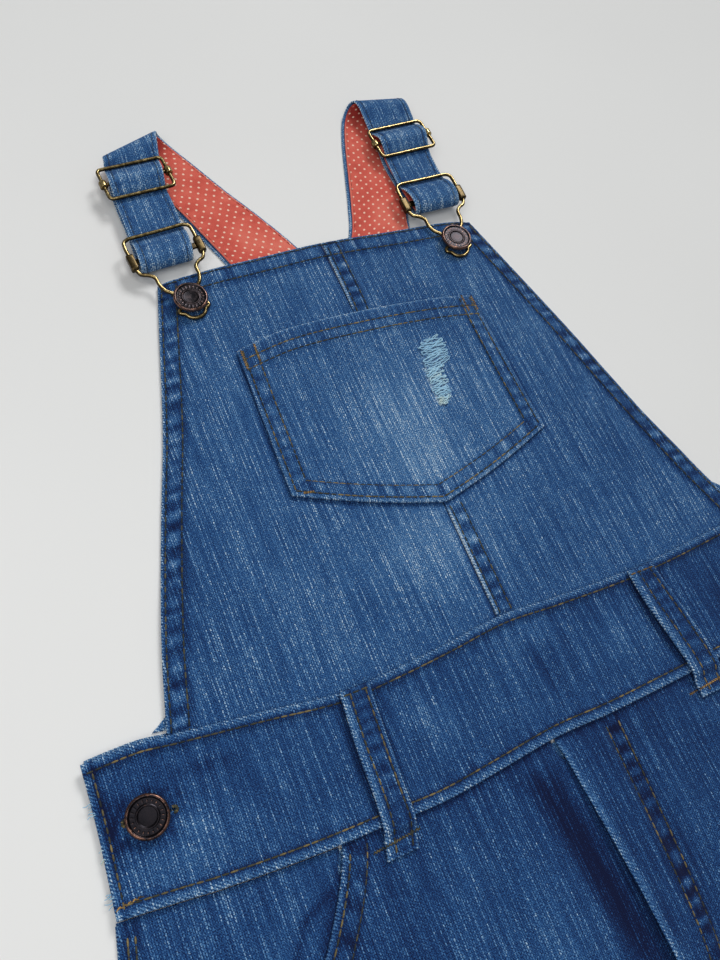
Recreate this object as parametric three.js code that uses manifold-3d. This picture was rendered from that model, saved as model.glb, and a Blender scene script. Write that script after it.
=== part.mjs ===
// Denim bib shortalls laid flat on their back, with the shoulder straps folded forward and hooked to
// the two bib buttons. Millimetres: x to the viewer's right, y towards the shoulders, z up.
// Plan positions are counted from the centre front, where the bib meets the waistband. At the end the
// whole group is moved so that its origin is the middle of the underside.
import * as THREE from "three";
import { mergeVertices } from "three/addons/utils/BufferGeometryUtils.js";
import Module from "manifold-3d";

const wasm = await Module();
wasm.setup();

// Cloth thicknesses and the air between pieces
const GAP = 0.3;
const CLOTH = 1.2; // one layer of denim
const BACK_BAND = 1.6; // the back waistband, pressed flat
const FRONT_BAND = 2.2; // the front waistband, two layers
const LOOP_CLOTH = 2.0; // a belt loop, folded denim
const STRAP_LAYER = 1.0; // the denim or the lining of a strap
const HEM_RISE = 0.8; // what a turned and stitched edge adds
const HEM_WIDTH = 9.5; // turned edges of the bib
const HEM_STEP = 1.0; // how far the edge of a turning takes to fall
const TUCK = 4; // how far cloth reaches under the waistband's edge
const FRONT_REST = BACK_BAND + GAP; // where the front layer's underside lies
const BAND_LIFT = CLOTH + GAP; // how far the waistband's edges ride up over the tucked cloth
const BAND_SLOPE = 3; // how far in from the tucked cloth the waistband comes down again
const BAND_CLEAR = { near: 0.3, far: 1.8 }; // where raised edges die away beside the waistband

// Bib, 179 wide at the top and 304 at the waist, 217 high
const BIB_SIDE = [
  { y: -10, left: -157, right: 153 },
  { y: 3, left: -153.8, right: 150 },
  { y: 40, left: -144, right: 137.5 },
  { y: 91, left: -127.6, right: 123.6 },
  { y: 132, left: -113.6, right: 113.2 },
  { y: 188, left: -97.4, right: 97.4 },
  { y: 218, left: -88.6, right: 88.8 },
];
const BIB_TOP = [
  { x: -92, y: 211.5 },
  { x: -84, y: 213 },
  { x: -40, y: 215 },
  { x: 0, y: 216.6 },
  { x: 40, y: 215 },
  { x: 84, y: 213.6 },
  { x: 92, y: 212 },
];
const BIB_SEAM = [
  { y: -10, x: -1.6 },
  { y: 60, x: -0.6 },
  { y: 220, x: 0.2 },
];
const SEAM_WIDTH = 9.2; // the felled centre seam
const BIB_ROWS = [16, 30, 44, 54, 57, 76, 100, 124, 148, 162, 171.8, 174.8, 186, 196];
const SEAM_FLAT = { from: 54, foot: 57, head: 171.8, to: 174.8 }; // flat under the pocket
// The bib rises where the straps pass beneath it, and its sides sink towards the table
const STRAP_LIFT = { height: 0.9, from: 150, full: 186, middle: 4, flat: 60, reach: 82 };
const BIB_DROOP = { height: 1.3, width: 14, from: 44, full: 76 };
const BACK_BIB_SIDE = [
  { y: 3, left: -166, right: 173 },
  { y: 7, left: -158, right: 166 },
  { y: 14, left: -147, right: 157.5 },
  { y: 26, left: -132, right: 144.5 },
  { y: 45, left: -115, right: 126 },
  { y: 80, left: -92, right: 102 },
  { y: 130, left: -66, right: 76 },
  { y: 190, left: -44, right: 54 },
];
const BACK_BIB_TOP = 190;
const BACK_BIB_ROWS = [0, 3.5, 8, 14, 24];

// Waistband, 374 along the top and 57 deep
const BAND_END = [
  { y: -56, x: 190.6 },
  { y: -40, x: 189.4 },
  { y: -20, x: 188 },
  { y: 8, x: 187.2 },
];
const BAND = [
  { x: -191, top: 4.1, foot: -52.6 },
  { x: -166, top: 4.7, foot: -55.4 },
  { x: -152, top: 2.8, foot: -57.2 },
  { x: -115, top: -1.8, foot: -60 },
  { x: -83, top: -6, foot: -61 },
  { x: -58, top: -5.2, foot: -61.8 },
  { x: -30, top: -3, foot: -59.6 },
  { x: 0, top: 0, foot: -57 },
  { x: 29, top: -1.2, foot: -57.2 },
  { x: 68, top: -1.9, foot: -55.8 },
  { x: 100, top: -0.4, foot: -54.4 },
  { x: 132, top: 2.4, foot: -53 },
  { x: 165, top: 4.8, foot: -51.6 },
  { x: 191, top: 5, foot: -50.4 },
];
const BACK_SEAM = 1.2; // between the back waistband and its neighbours
const BACK_BAND_INSET = 1.5;
const PEEK = 1.5; // the back waistband stands this far above the front one

// Patch pocket on the bib
const POCKET_SIDE = [
  { y: 58, left: -69.6, right: 68.6 },
  { y: 82, left: -69, right: 68 },
  { y: 170, left: -66.3, right: 66.3 },
];
const POCKET_TOP = [
  { x: -70, y: 162.5 },
  { x: -62, y: 164.8 },
  { x: -38, y: 168.6 },
  { x: 0, y: 168.8 },
  { x: 40, y: 166.8 },
  { x: 70, y: 163.4 },
];
const POCKET_FOOT = { left: 84, middle: 58.6, right: 81, halfWidth: 69, sag: 1.6 };
const POCKET_MOUTH_HEM = 13;
const POCKET_EDGE_HEM = 8.5;
const POCKET_GAPE = { height: 2.2, halfWidth: 66, from: 118, full: 168 }; // the mouth stands off

// Legs below the waistband
const SIDE_SEAM = [
  { y: -50, x: 190.6 },
  { y: -66, x: 194 },
  { y: -110, x: 205 },
  { y: -155, x: 216.5 },
  { y: -200, x: 227 },
  { y: -250, x: 238 },
  { y: -300, x: 248 },
  { y: -340, x: 256 },
];
const CROTCH = -262;
const HEM_OUTER = -338;
const HEM_INNER = -346;
const INSEAM_HEM_X = 14;
const INSEAM_BEND = 0.8;
const LEG_HEM = 20;
const LEG_GUIDE_X = 110;
const BACK_LEG_ROWS = [-300, -280, CROTCH, -225, -190, -155, -120, -90];
const HEM_ROOM = { low: HEM_OUTER + LEG_HEM - 4, high: HEM_OUTER + LEG_HEM + 8 };
const FLY_EDGE = [
  { y: -50, x: -2 },
  { y: -62, x: -2 },
  { y: -80, x: -1 },
  { y: -100, x: 0.2 },
  { y: -120, x: 1.3 },
  { y: -140, x: 2 },
  { y: -180, x: 2.4 },
  { y: -230, x: 1.6 },
  { y: -262, x: 0 },
];
const FLY_UNDERLAP = [
  { y: -50, reach: -0.3 },
  { y: -66, reach: -0.3 },
  { y: -69.6, reach: 15 },
  { y: -165, reach: 16 },
  { y: -182, reach: 9 },
  { y: -190, reach: -0.3 },
  { y: -262, reach: -0.3 },
];
const FLY_LAP = { foot: -200, full: -190, low: -66, top: -58 };
const FLY_WIDTH = 20;
const FLY_SEAM_STEP = 5;
const FLY_EDGE_STOP = 3; // the first column of points in from the fly's edge
// The folds grow to full height between these distances from the fly
const FLY_CALM = { left: { from: 4, full: 26 }, right: { from: 22, full: 44 } };
const FLY_RIDGE = [
  { y: -58, height: 0 },
  { y: -80, height: 1.3 },
  { y: -105, height: 2.6 },
  { y: -140, height: 3.6 },
  { y: -185, height: 3 },
  { y: -235, height: 1 },
  { y: -262, height: 0.2 },
];
const RIDGE_REACH = 8; // the ridge dies away over this distance

// Slanting hip pockets
const POCKET_OPENING = [
  { y: -50, x: 102.5 },
  { y: -61, x: 104.6 },
  { y: -72, x: 110 },
  { y: -84, x: 117.8 },
  { y: -96, x: 127 },
  { y: -111, x: 140.5 },
  { y: -127, x: 158 },
  { y: -140, x: 177 },
  { y: -148, x: 196 },
  { y: -153, x: 215.6 },
];
const OPENING_FOOT = -153;
const FACING_REST = 1.5;
const FACING_CLOTH = 1;
const FACING_LIFT = FACING_REST + FACING_CLOTH + 2 * GAP - FRONT_REST;
const FACING = { foot: -150, low: -76, top: -68, underlap: 4, short: 1.2, edge: 0.4 };
const FACING_ROOM = { near: 6, far: 16, foot: -159, full: -150, low: -70, top: -62 };
const OPENING_HEM = 9;

const FRONT_LEG_ROWS = [
  -300, -284, -268, -261.9, -248, -232, -216, -202, -192, -186, -176, -166, -157, -153, -149, -144,
  -138, -131, -122, -112, -102, -92, -83, -75, -69.6, -66.4,
];

// Soft folds of the front legs: a ridge along a line from one end to the other
const LEG_FOLDS = [
  { x0: -32, y0: -78, x1: -40, y1: -215, height: 3.4, width: 17 },
  { x0: -92, y0: -120, x1: -112, y1: -255, height: 2.2, width: 20 },
  { x0: -168, y0: -190, x1: -178, y1: -300, height: 2, width: 24 },
  { x0: 62, y0: -96, x1: 70, y1: -235, height: 2.3, width: 19 },
  { x0: 122, y0: -150, x1: 140, y1: -285, height: 2.6, width: 23 },
  { x0: 178, y0: -200, x1: 186, y1: -300, height: 1.7, width: 20 },
];
const FOLDS_END = { low: -98, top: -76 };
// Shares of a fold's length between which it rises at its start and sinks at its end
const FOLD_TAPER = { from: -0.12, full: 0.3, fall: 0.7, end: 1.12 };

// Belt loops on the front waistband
const BELT_LOOPS = [
  {
    name: "belt_loop_left",
    rows: [
      { y: -6.2, left: -83.6, right: -70 },
      { y: -30, left: -85.8, right: -71.8 },
      { y: -50, left: -86.4, right: -72.8 },
      { y: -63, left: -87.8, right: -73.6 },
      { y: -73.4, left: -90.4, right: -76.6 },
    ],
  },
  {
    name: "belt_loop_right",
    rows: [
      { y: -2.6, left: 68.4, right: 82.8 },
      { y: -20, left: 69.2, right: 85 },
      { y: -38, left: 71.8, right: 87.6 },
      { y: -50, left: 73.6, right: 89.2 },
      { y: -67.4, left: 73.6, right: 88.6 },
    ],
  },
];
const LOOP_FORM = { landing: 5.4, step: 0.6, arch: 0.5 };

// Straps: each row is one section, from the back of the bib up to the shoulder, forward through the
// slider, round the buckle's bar and back under to the slider. The height is where denim and lining
// meet. `left` and `right` are the strap's two edges as seen from above.
const STRAPS = [
  {
    side: "left",
    slider: { x: -81.5, y: 274.8, turn: 4.5 },
    buckle: { x: -78.5, y: 197.3, turn: 6 },
    rows: [
      { leftX: -43.5, leftY: 190.6, leftZ: 1.2, rightX: -0.6, rightY: 190.6, rightZ: 1.2 },
      { leftX: -52.5, leftY: 217, leftZ: 1.2, rightX: -12.8, rightY: 220.6, rightZ: 1.2 },
      { leftX: -59, leftY: 235, leftZ: 1.2, rightX: -24.7, rightY: 244, rightZ: 1.2 },
      { leftX: -66, leftY: 254, leftZ: 1.2, rightX: -36.1, rightY: 264, rightZ: 1.2 },
      { leftX: -75, leftY: 273, leftZ: 1.2, rightX: -47, rightY: 285, rightZ: 1.2 },
      { leftX: -85, leftY: 285.5, leftZ: 1.6, rightX: -54.5, rightY: 298.5, rightZ: 1.6 },
      { leftX: -91, leftY: 291.5, leftZ: 4.6, rightX: -59.6, rightY: 304.4, rightZ: 4.8 },
      { leftX: -93.6, leftY: 291.6, leftZ: 7.8, rightX: -61.6, rightY: 303.4, rightZ: 8.6 },
      { leftX: -94.4, leftY: 288.8, leftZ: 8.8, rightX: -63.4, rightY: 298, rightZ: 9.8 },
      { leftX: -94.9, leftY: 286.4, leftZ: 7.4, rightX: -65, rightY: 289.6, rightZ: 7.9 },
      { leftX: -95.1, leftY: 283.6, leftZ: 6.1, rightX: -65.8, rightY: 285.9, rightZ: 6.1 },
      { leftX: -95.6, leftY: 279.6, leftZ: 9, rightX: -66.6, rightY: 281.9, rightZ: 9 },
      { leftX: -96.2, leftY: 273.8, leftZ: 11.6, rightX: -67.4, rightY: 276, rightZ: 11.6 },
      { leftX: -96, leftY: 268, leftZ: 9.2, rightX: -68, rightY: 270.2, rightZ: 9.2 },
      { leftX: -95.7, leftY: 263.9, leftZ: 6.2, rightX: -68.2, rightY: 266.2, rightZ: 6.2 },
      { leftX: -95.8, leftY: 253, leftZ: 6.5, rightX: -67.8, rightY: 255, rightZ: 6.5 },
      { leftX: -95.8, leftY: 237.4, leftZ: 6.2, rightX: -67.6, rightY: 240.3, rightZ: 6.2 },
      { leftX: -96, leftY: 232.2, leftZ: 9, rightX: -67.8, rightY: 235.2, rightZ: 9 },
      { leftX: -96.2, leftY: 227, leftZ: 10.4, rightX: -68.2, rightY: 229.8, rightZ: 10.4 },
      { leftX: -96.3, leftY: 222.2, leftZ: 10, rightX: -68.6, rightY: 225, rightZ: 10 },
      { leftX: -96.3, leftY: 219.2, leftZ: 7.2, rightX: -69, rightY: 221.8, rightZ: 7.2 },
      { leftX: -96, leftY: 220.8, leftZ: 4.2, rightX: -69, rightY: 223.4, rightZ: 4.2 },
      { leftX: -95.6, leftY: 229, leftZ: 2.6, rightX: -68.6, rightY: 230.6, rightZ: 2.6 },
      { leftX: -95.6, leftY: 248, leftZ: 3.4, rightX: -68, rightY: 248, rightZ: 3.6 },
      { leftX: -96, leftY: 262.2, leftZ: 3.6, rightX: -68, rightY: 264, rightZ: 3.8 },
      { leftX: -96, leftY: 271.6, leftZ: 5.9, rightX: -67.8, rightY: 273.8, rightZ: 6 },
      { leftX: -95.8, leftY: 276.6, leftZ: 6.4, rightX: -67.4, rightY: 278.8, rightZ: 6.4 },
    ],
  },
  {
    side: "right",
    slider: { x: 72.7, y: 272.9, turn: 4 },
    buckle: { x: 73.2, y: 199.4, turn: 2.6 },
    rows: [
      { leftX: 0.6, leftY: 190.6, leftZ: 1.2, rightX: 53.6, rightY: 190.6, rightZ: 1.2 },
      { leftX: 18.2, leftY: 219.7, leftZ: 1.2, rightX: 55, rightY: 216.3, rightZ: 1.2 },
      { leftX: 25.8, leftY: 238.6, leftZ: 1.2, rightX: 60.5, rightY: 233, rightZ: 1.2 },
      { leftX: 32.2, leftY: 257.7, leftZ: 1.2, rightX: 66, rightY: 250, rightZ: 1.2 },
      { leftX: 40.6, leftY: 282.6, leftZ: 1.2, rightX: 73, rightY: 272, rightZ: 1.2 },
      { leftX: 47, leftY: 298, leftZ: 1.7, rightX: 79.6, rightY: 291, rightZ: 1.6 },
      { leftX: 52, leftY: 304.8, leftZ: 4.8, rightX: 84, rightY: 300.4, rightZ: 4.6 },
      { leftX: 55.2, leftY: 305, leftZ: 8.2, rightX: 86.2, rightY: 302, rightZ: 8 },
      { leftX: 56.2, leftY: 299, leftZ: 9.8, rightX: 86.8, rightY: 297, rightZ: 9.6 },
      { leftX: 56.3, leftY: 287.4, leftZ: 8.2, rightX: 87, rightY: 288.6, rightZ: 8.1 },
      { leftX: 57, leftY: 281.7, leftZ: 6.1, rightX: 87.2, rightY: 283.8, rightZ: 6.1 },
      { leftX: 57, leftY: 277.4, leftZ: 9.2, rightX: 87.4, rightY: 279.6, rightZ: 9.2 },
      { leftX: 57.4, leftY: 271.8, leftZ: 11.6, rightX: 87.6, rightY: 274, rightZ: 11.6 },
      { leftX: 57.9, leftY: 266, leftZ: 9.2, rightX: 87.2, rightY: 268.2, rightZ: 9.2 },
      { leftX: 58.2, leftY: 261.9, leftZ: 6.3, rightX: 87, rightY: 264, rightZ: 6.3 },
      { leftX: 57.4, leftY: 253, leftZ: 6.6, rightX: 85.8, rightY: 254.6, rightZ: 6.6 },
      { leftX: 57, leftY: 240.6, leftZ: 6.8, rightX: 85.6, rightY: 242, rightZ: 6.8 },
      { leftX: 57.4, leftY: 235.4, leftZ: 9.6, rightX: 86.2, rightY: 236.8, rightZ: 9.6 },
      { leftX: 58, leftY: 230.2, leftZ: 11, rightX: 86.6, rightY: 231.4, rightZ: 11 },
      { leftX: 58.4, leftY: 225.4, leftZ: 10.6, rightX: 86.6, rightY: 226.6, rightZ: 10.6 },
      { leftX: 58.6, leftY: 222.3, leftZ: 7.8, rightX: 86.6, rightY: 223.5, rightZ: 7.8 },
      { leftX: 58.8, leftY: 223.8, leftZ: 4.9, rightX: 86.4, rightY: 225, rightZ: 4.7 },
      { leftX: 58.4, leftY: 231, leftZ: 4, rightX: 86.2, rightY: 232.4, rightZ: 3.4 },
      { leftX: 57.4, leftY: 248, leftZ: 3.9, rightX: 86, rightY: 249, rightZ: 3.6 },
      { leftX: 57, leftY: 260.4, leftZ: 3.8, rightX: 86.4, rightY: 262.2, rightZ: 3.8 },
      { leftX: 57, leftY: 269.8, leftZ: 6, rightX: 86.8, rightY: 272, rightZ: 6 },
      { leftX: 57, leftY: 274.8, leftZ: 6.4, rightX: 86.8, rightY: 277, rightZ: 6.4 },
    ],
  },
];
const STRAP_STEPS = 2; // sections made for each row of the table
const STRAP_COLUMNS = [0, 0.5, 1];
const LINING_INSET = 1.7; // the denim's folded edge shows beside the lining

// Wire and buttons
const WIRE_RADIUS = 0.95;
const WIRE_SIDES = 8;
const SLIDER_HALF_WIDTH = 17.4;
const BUCKLE_HALF_WIDTH = 17.9;
const SLIDER_HALF_HEIGHT = 9.9;
const SLIDER_CORNER = 2.2;
const SLIDER_HEIGHT = 9; // height of the slider's plane
const SLIDER_BAR_RADIUS = 0.95;
const BUCKLE_RISE = 2.05; // the wire's height on the button's shank
const BUCKLE_TILT = 5.1; // degrees, up towards the shoulder
const BUCKLE_BAR = { y: 28.4, depth: 3.4, thickness: 1.2 };
const BUCKLE_SLEEVE = { width: 3.9, length: 9, height: 3.8, hole: 1.5 };
const SLIDER_SLEEVE = { radius: 2.1, length: 3.8, hole: 1.4 };
const BAR_JOIN = 0.1; // how far a bar runs into its sleeves' walls
// Half of the buckle's wire, from the middle of its top bar down to the bottom of the keyhole
const BUCKLE_WIRE = [
  { x: 0, y: 42 },
  { x: 8, y: 42 },
  { x: 14.6, y: 41.9 },
  { x: 17.2, y: 40.6 },
  { x: 17.9, y: 37.6 },
  { x: 17.9, y: 33 },
  { x: 17.9, y: 28.4 },
  { x: 17.8, y: 24.6 },
  { x: 16.4, y: 21.2 },
  { x: 13.2, y: 19.6 },
  { x: 10.9, y: 17.4 },
  { x: 10.5, y: 13 },
  { x: 9, y: 9 },
  { x: 5.6, y: 5.6 },
  { x: 4.3, y: 1.6 },
  { x: 4.7, y: -1.6 },
  { x: 7.2, y: -3.4 },
  { x: 7.6, y: -5 },
  { x: 5.4, y: -6.3 },
  { x: 4.3, y: -8.1 },
  { x: 2.3, y: -9.4 },
  { x: 0, y: -9.8 },
];
const WIRE_SECTIONS = 64;
const BUTTON_RADIUS = 8.5;
// Profile of a button from its foot to the middle of its face
const BUTTON_PROFILE = [
  { r: 0, z: 0 },
  { r: 2.6, z: 0 },
  { r: 2.2, z: 1.2 },
  { r: 2.2, z: 3.7 },
  { r: 7.6, z: 4 },
  { r: BUTTON_RADIUS, z: 4.8 },
  { r: 8.3, z: 5.8 },
  { r: 7.4, z: 6.1 },
  { r: 6.9, z: 5.5 },
  { r: 0, z: 5.3 },
];
const BUTTON_SEGMENTS = 24;
const WAIST_BUTTON = { x: 169.7, y: -23 };
const BUTTONHOLE = { eyelet: 3.1, slitLength: 20, slitWidth: 1.2, slitReach: 9, depth: 12 };

// Smooth step from 0 at a to 1 at b
function ramp(a, b, x) {
  const t = Math.min(1, Math.max(0, (x - a) / (b - a)));
  return t * t * (3 - 2 * t);
}

// The value of `column` where `key` is `at`, on a smooth curve through the table's rows
function along(table, key, column, at) {
  const sign = table[1][key] > table[0][key] ? 1 : -1;
  const last = table.length - 1;
  let k = 0;
  while (k < last - 1 && sign * table[k + 1][key] < sign * at) k += 1;
  const slope = (i) => {
    const a = table[Math.max(0, i - 1)];
    const b = table[Math.min(last, i + 1)];
    return (b[column] - a[column]) / (b[key] - a[key]);
  };
  const [p, q] = [table[k], table[k + 1]];
  const span = q[key] - p[key];
  const t = Math.min(1, Math.max(0, (at - p[key]) / span));
  const [t2, t3] = [t * t, t * t * t];
  const fromPoints = (2 * t3 - 3 * t2 + 1) * p[column] + (3 * t2 - 2 * t3) * q[column];
  const fromSlopes = (t3 - 2 * t2 + t) * slope(k) + (t3 - t2) * slope(k + 1);
  return fromPoints + span * fromSlopes;
}

// Positions from start to end: fixed distances in from each end, and `count` even steps between them
function stops(start, end, startOffsets, count, endOffsets) {
  const from = start + startOffsets.at(-1);
  const to = end - endOffsets.at(-1);
  const made = startOffsets.map((offset) => start + offset);
  for (let i = 1; i < count; i += 1) made.push(from + ((to - from) * i) / count);
  return [...made, ...[...endOffsets].reverse().map((offset) => end - offset)];
}

// A closed wall from two grids of points, its upper and lower faces, joined round the edge
function shell(columns, rows, upper, lower) {
  const positions = [];
  for (const face of [upper, lower]) {
    for (let j = 0; j < rows; j += 1) {
      for (let i = 0; i < columns; i += 1) positions.push(...face(i, j));
    }
  }
  const index = [];
  const top = (i, j) => j * columns + i;
  const under = (i, j) => (rows + j) * columns + i;
  const quad = (a, b, c, d) => index.push(a, b, c, a, c, d);
  const [right, far] = [columns - 1, rows - 1];
  for (let j = 0; j < far; j += 1) {
    for (let i = 0; i < right; i += 1) {
      quad(top(i, j), top(i + 1, j), top(i + 1, j + 1), top(i, j + 1));
      quad(under(i, j), under(i, j + 1), under(i + 1, j + 1), under(i + 1, j));
    }
    quad(under(0, j + 1), under(0, j), top(0, j), top(0, j + 1));
    quad(under(right, j), under(right, j + 1), top(right, j + 1), top(right, j));
  }
  for (let i = 0; i < right; i += 1) {
    quad(under(i, 0), under(i + 1, 0), top(i + 1, 0), top(i, 0));
    quad(under(i + 1, far), under(i, far), top(i, far), top(i + 1, far));
  }
  return indexed(positions, index);
}

function indexed(positions, index) {
  const geometry = new THREE.BufferGeometry();
  geometry.setAttribute("position", new THREE.Float32BufferAttribute(positions, 3));
  geometry.setIndex(index);
  return geometry;
}

// A panel that lies flat: `plan` is a grid of [x, y], and two functions give its heights there
function panel(plan, lowerZ, upperZ) {
  const face = (height) => (i, j) => {
    const [x, y] = plan[j][i];
    return [x, y, height(x, y)];
  };
  return shell(plan[0].length, plan.length, face(upperZ), face(lowerZ));
}

// A grid of plan points. `across` gives a row's x positions from its y at guideX, and `up` gives
// the y positions of a column from its x
function planGrid(across, up, guideX) {
  return up(guideX).map((rowY, j) => across(rowY).map((x) => [x, up(x)[j]]));
}

// Between three.js geometry and solids that can be cut and joined
function solid(geometry) {
  const bare = new THREE.BufferGeometry();
  bare.setAttribute("position", geometry.getAttribute("position"));
  bare.setIndex(geometry.index);
  const merged = mergeVertices(bare, 1e-4);
  const vertProperties = merged.attributes.position.array;
  const triVerts = new Uint32Array(merged.index.array);
  return new wasm.Manifold(new wasm.Mesh({ numProp: 3, vertProperties, triVerts }));
}

function geometryOf(made) {
  const { vertProperties, triVerts } = made.getMesh();
  return indexed([...vertProperties], [...triVerts]);
}

// Outlines, each a position along the other axis
const bibTop = (x) => along(BIB_TOP, "x", "y", x);
const bibLeft = (y) => along(BIB_SIDE, "y", "left", y);
const bibRight = (y) => along(BIB_SIDE, "y", "right", y);
const seamX = (y) => along(BIB_SEAM, "y", "x", y);
const bandTop = (x) => along(BAND, "x", "top", x);
const bandFoot = (x) => along(BAND, "x", "foot", x);
const sideSeam = (y) => along(SIDE_SEAM, "y", "x", y);
const flyEdge = (y) => along(FLY_EDGE, "y", "x", y);
const openingX = (y) => (y < OPENING_FOOT ? sideSeam(y) : along(POCKET_OPENING, "y", "x", y));
const hemFoot = (x) => HEM_INNER + (HEM_OUTER - HEM_INNER) * ramp(0, SIDE_SEAM.at(-1).x, Math.abs(x));
const inseamX = (y) => GAP + (INSEAM_HEM_X - GAP) * ((CROTCH - y) / (CROTCH - HEM_INNER)) ** INSEAM_BEND;

// What a turned edge of some width adds at a distance in from that edge
const turned = (width, distance) => HEM_RISE * (1 - ramp(width, width + HEM_STEP, distance));

// Bib
function bibLower(x, y) {
  const { height, from, full, middle, flat, reach } = STRAP_LIFT;
  const lift = height * ramp(from, full, y) * (1 - ramp(flat, reach, Math.abs(x - middle)));
  const edge = Math.min(x - bibLeft(y), bibRight(y) - x);
  const sinks = ramp(BIB_DROOP.from, BIB_DROOP.full, y) * (1 - ramp(0, BIB_DROOP.width, edge));
  return FRONT_REST + lift - BIB_DROOP.height * sinks;
}

// The felled seam lies on the right panel. It and the turned edges die away beside the waistband,
// and the seam lies flat under the pocket
function bibUpper(x, y, side) {
  const edge = Math.min(x - bibLeft(y), bibRight(y) - x, bibTop(x) - y);
  const { from, foot, head, to } = SEAM_FLAT;
  const shown = side === "left" ? 0 : 1 - ramp(from, foot, y) * (1 - ramp(head, to, y));
  const raised = Math.max(turned(HEM_WIDTH, edge), shown * turned(SEAM_WIDTH, x - seamX(y)));
  const clear = ramp(bandTop(x) + BAND_CLEAR.near, bandTop(x) + BAND_CLEAR.far, y);
  return bibLower(x, y) + CLOTH + raised * clear;
}

function bibPanel(side) {
  const hem = [0, HEM_WIDTH, HEM_WIDTH + HEM_STEP];
  const seam = [0, SEAM_WIDTH, SEAM_WIDTH + HEM_STEP];
  const across = (y) =>
    side === "left"
      ? stops(bibLeft(y), seamX(y) - GAP, hem, 6, [0])
      : stops(seamX(y), bibRight(y), seam, 5, hem);
  const up = (x) => {
    const foot = [-TUCK, BAND_CLEAR.near, BAND_CLEAR.far].map((offset) => bandTop(x) + offset);
    return [...foot, ...BIB_ROWS, ...[...hem].reverse().map((offset) => bibTop(x) - offset)];
  };
  const plan = planGrid(across, up, side === "left" ? BIB_SIDE[1].left / 2 : BIB_SIDE[1].right / 2);
  return panel(plan, bibLower, (x, y) => bibUpper(x, y, side));
}

// Patch pocket, made from the bib's surface moved out, with a mouth that gapes a little
function pocketFoot(x) {
  const { left, middle, right, halfWidth, sag } = POCKET_FOOT;
  const t = Math.abs(x) / halfWidth;
  return middle + ((x < 0 ? left : right) - middle) * t - sag * Math.sin(Math.PI * Math.min(1, t));
}

function pocketLower(x, y) {
  const { height, halfWidth, from, full } = POCKET_GAPE;
  const across = Math.sqrt(1 - Math.min(1, Math.abs(x) / halfWidth) ** 2);
  return bibLower(x, y) + CLOTH + GAP + height * across * ramp(from, full, y);
}

function pocketPanel() {
  const mouth = (x) => along(POCKET_TOP, "x", "y", x);
  const left = (y) => along(POCKET_SIDE, "y", "left", y);
  const right = (y) => along(POCKET_SIDE, "y", "right", y);
  const edgeStops = [0, POCKET_EDGE_HEM, POCKET_EDGE_HEM + HEM_STEP];
  const mouthStops = [0, POCKET_MOUTH_HEM, POCKET_MOUTH_HEM + HEM_STEP];
  const across = (y) => {
    const half = stops(left(y), 0, edgeStops, 4, [0]);
    return [...half, ...stops(0, right(y), [0], 4, edgeStops).slice(1)];
  };
  const up = (x) => stops(pocketFoot(x), mouth(x), edgeStops, 7, mouthStops);
  const upper = (x, y) => {
    const edge = Math.min(x - left(y), right(y) - x, y - pocketFoot(x));
    const raised = Math.max(turned(POCKET_EDGE_HEM, edge), turned(POCKET_MOUTH_HEM, mouth(x) - y));
    return pocketLower(x, y) + CLOTH + raised;
  };
  return panel(planGrid(across, up, POCKET_SIDE[1].left / 2), pocketLower, upper);
}

// Back pieces, which lie flat on the table
const onTable = () => 0;

function backBibPanel() {
  const across = (y) => {
    const left = along(BACK_BIB_SIDE, "y", "left", y);
    return stops(left, along(BACK_BIB_SIDE, "y", "right", y), [0], 10, [0]);
  };
  const up = (x) => stops(bandTop(x) + PEEK + BACK_SEAM, BACK_BIB_TOP, BACK_BIB_ROWS, 8, [0]);
  return panel(planGrid(across, up, 0), onTable, () => CLOTH);
}

function backBand() {
  const up = (x) => stops(bandFoot(x), bandTop(x) + PEEK, [0], 2, [0]);
  return panel(bandPlan(BACK_BAND_INSET, 30, up), onTable, () => BACK_BAND);
}

function backLeg(side) {
  const across = (y) => {
    const outer = side * sideSeam(y);
    const inner = side * (y < CROTCH ? inseamX(y) : GAP / 2);
    return side < 0 ? stops(outer, inner, [0], 6, [0]) : stops(inner, outer, [0], 6, [0]);
  };
  const up = (x) => {
    const hem = [0, LEG_HEM, LEG_HEM + HEM_STEP].map((offset) => hemFoot(x) + offset);
    return [...hem, ...BACK_LEG_ROWS, bandFoot(x) - BACK_SEAM];
  };
  const upper = (x, y) => CLOTH + turned(LEG_HEM, y - hemFoot(x));
  return panel(planGrid(across, up, side * LEG_GUIDE_X), onTable, upper);
}

// Waistband
function bandPlan(inset, count, up) {
  const across = (y) => {
    const half = along(BAND_END, "y", "x", y) - inset;
    return stops(-half, half, [0], count, [0]);
  };
  return planGrid(across, up, 0);
}

function bandLower(x, y) {
  const edge = Math.min(bandTop(x) - y, y - bandFoot(x));
  return FRONT_REST + BAND_LIFT * (1 - ramp(TUCK + GAP, TUCK + BAND_SLOPE, edge));
}

function frontBand() {
  const edges = [0, TUCK + GAP, TUCK + BAND_SLOPE];
  const up = (x) => stops(bandFoot(x), bandTop(x), edges, 3, edges);
  const upper = (x, y) => bandLower(x, y) + FRONT_BAND;
  const band = solid(panel(bandPlan(0, 34, up), bandLower, upper));
  return geometryOf(band.subtract(buttonhole(-1)).subtract(buttonhole(1)));
}

// The hole that a waist button comes up through: an eyelet under the button and a slit beside it
function buttonhole(side) {
  const { eyelet, slitLength, slitWidth, slitReach, depth } = BUTTONHOLE;
  const round = new THREE.CylinderGeometry(eyelet, eyelet, depth, 16).rotateX(Math.PI / 2);
  const slit = new THREE.BoxGeometry(slitLength, slitWidth, depth);
  round.translate(side * WAIST_BUTTON.x, WAIST_BUTTON.y, 0);
  slit.translate(side * (WAIST_BUTTON.x + slitReach - slitLength / 2), WAIST_BUTTON.y, 0);
  return solid(round).add(solid(slit));
}

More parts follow.
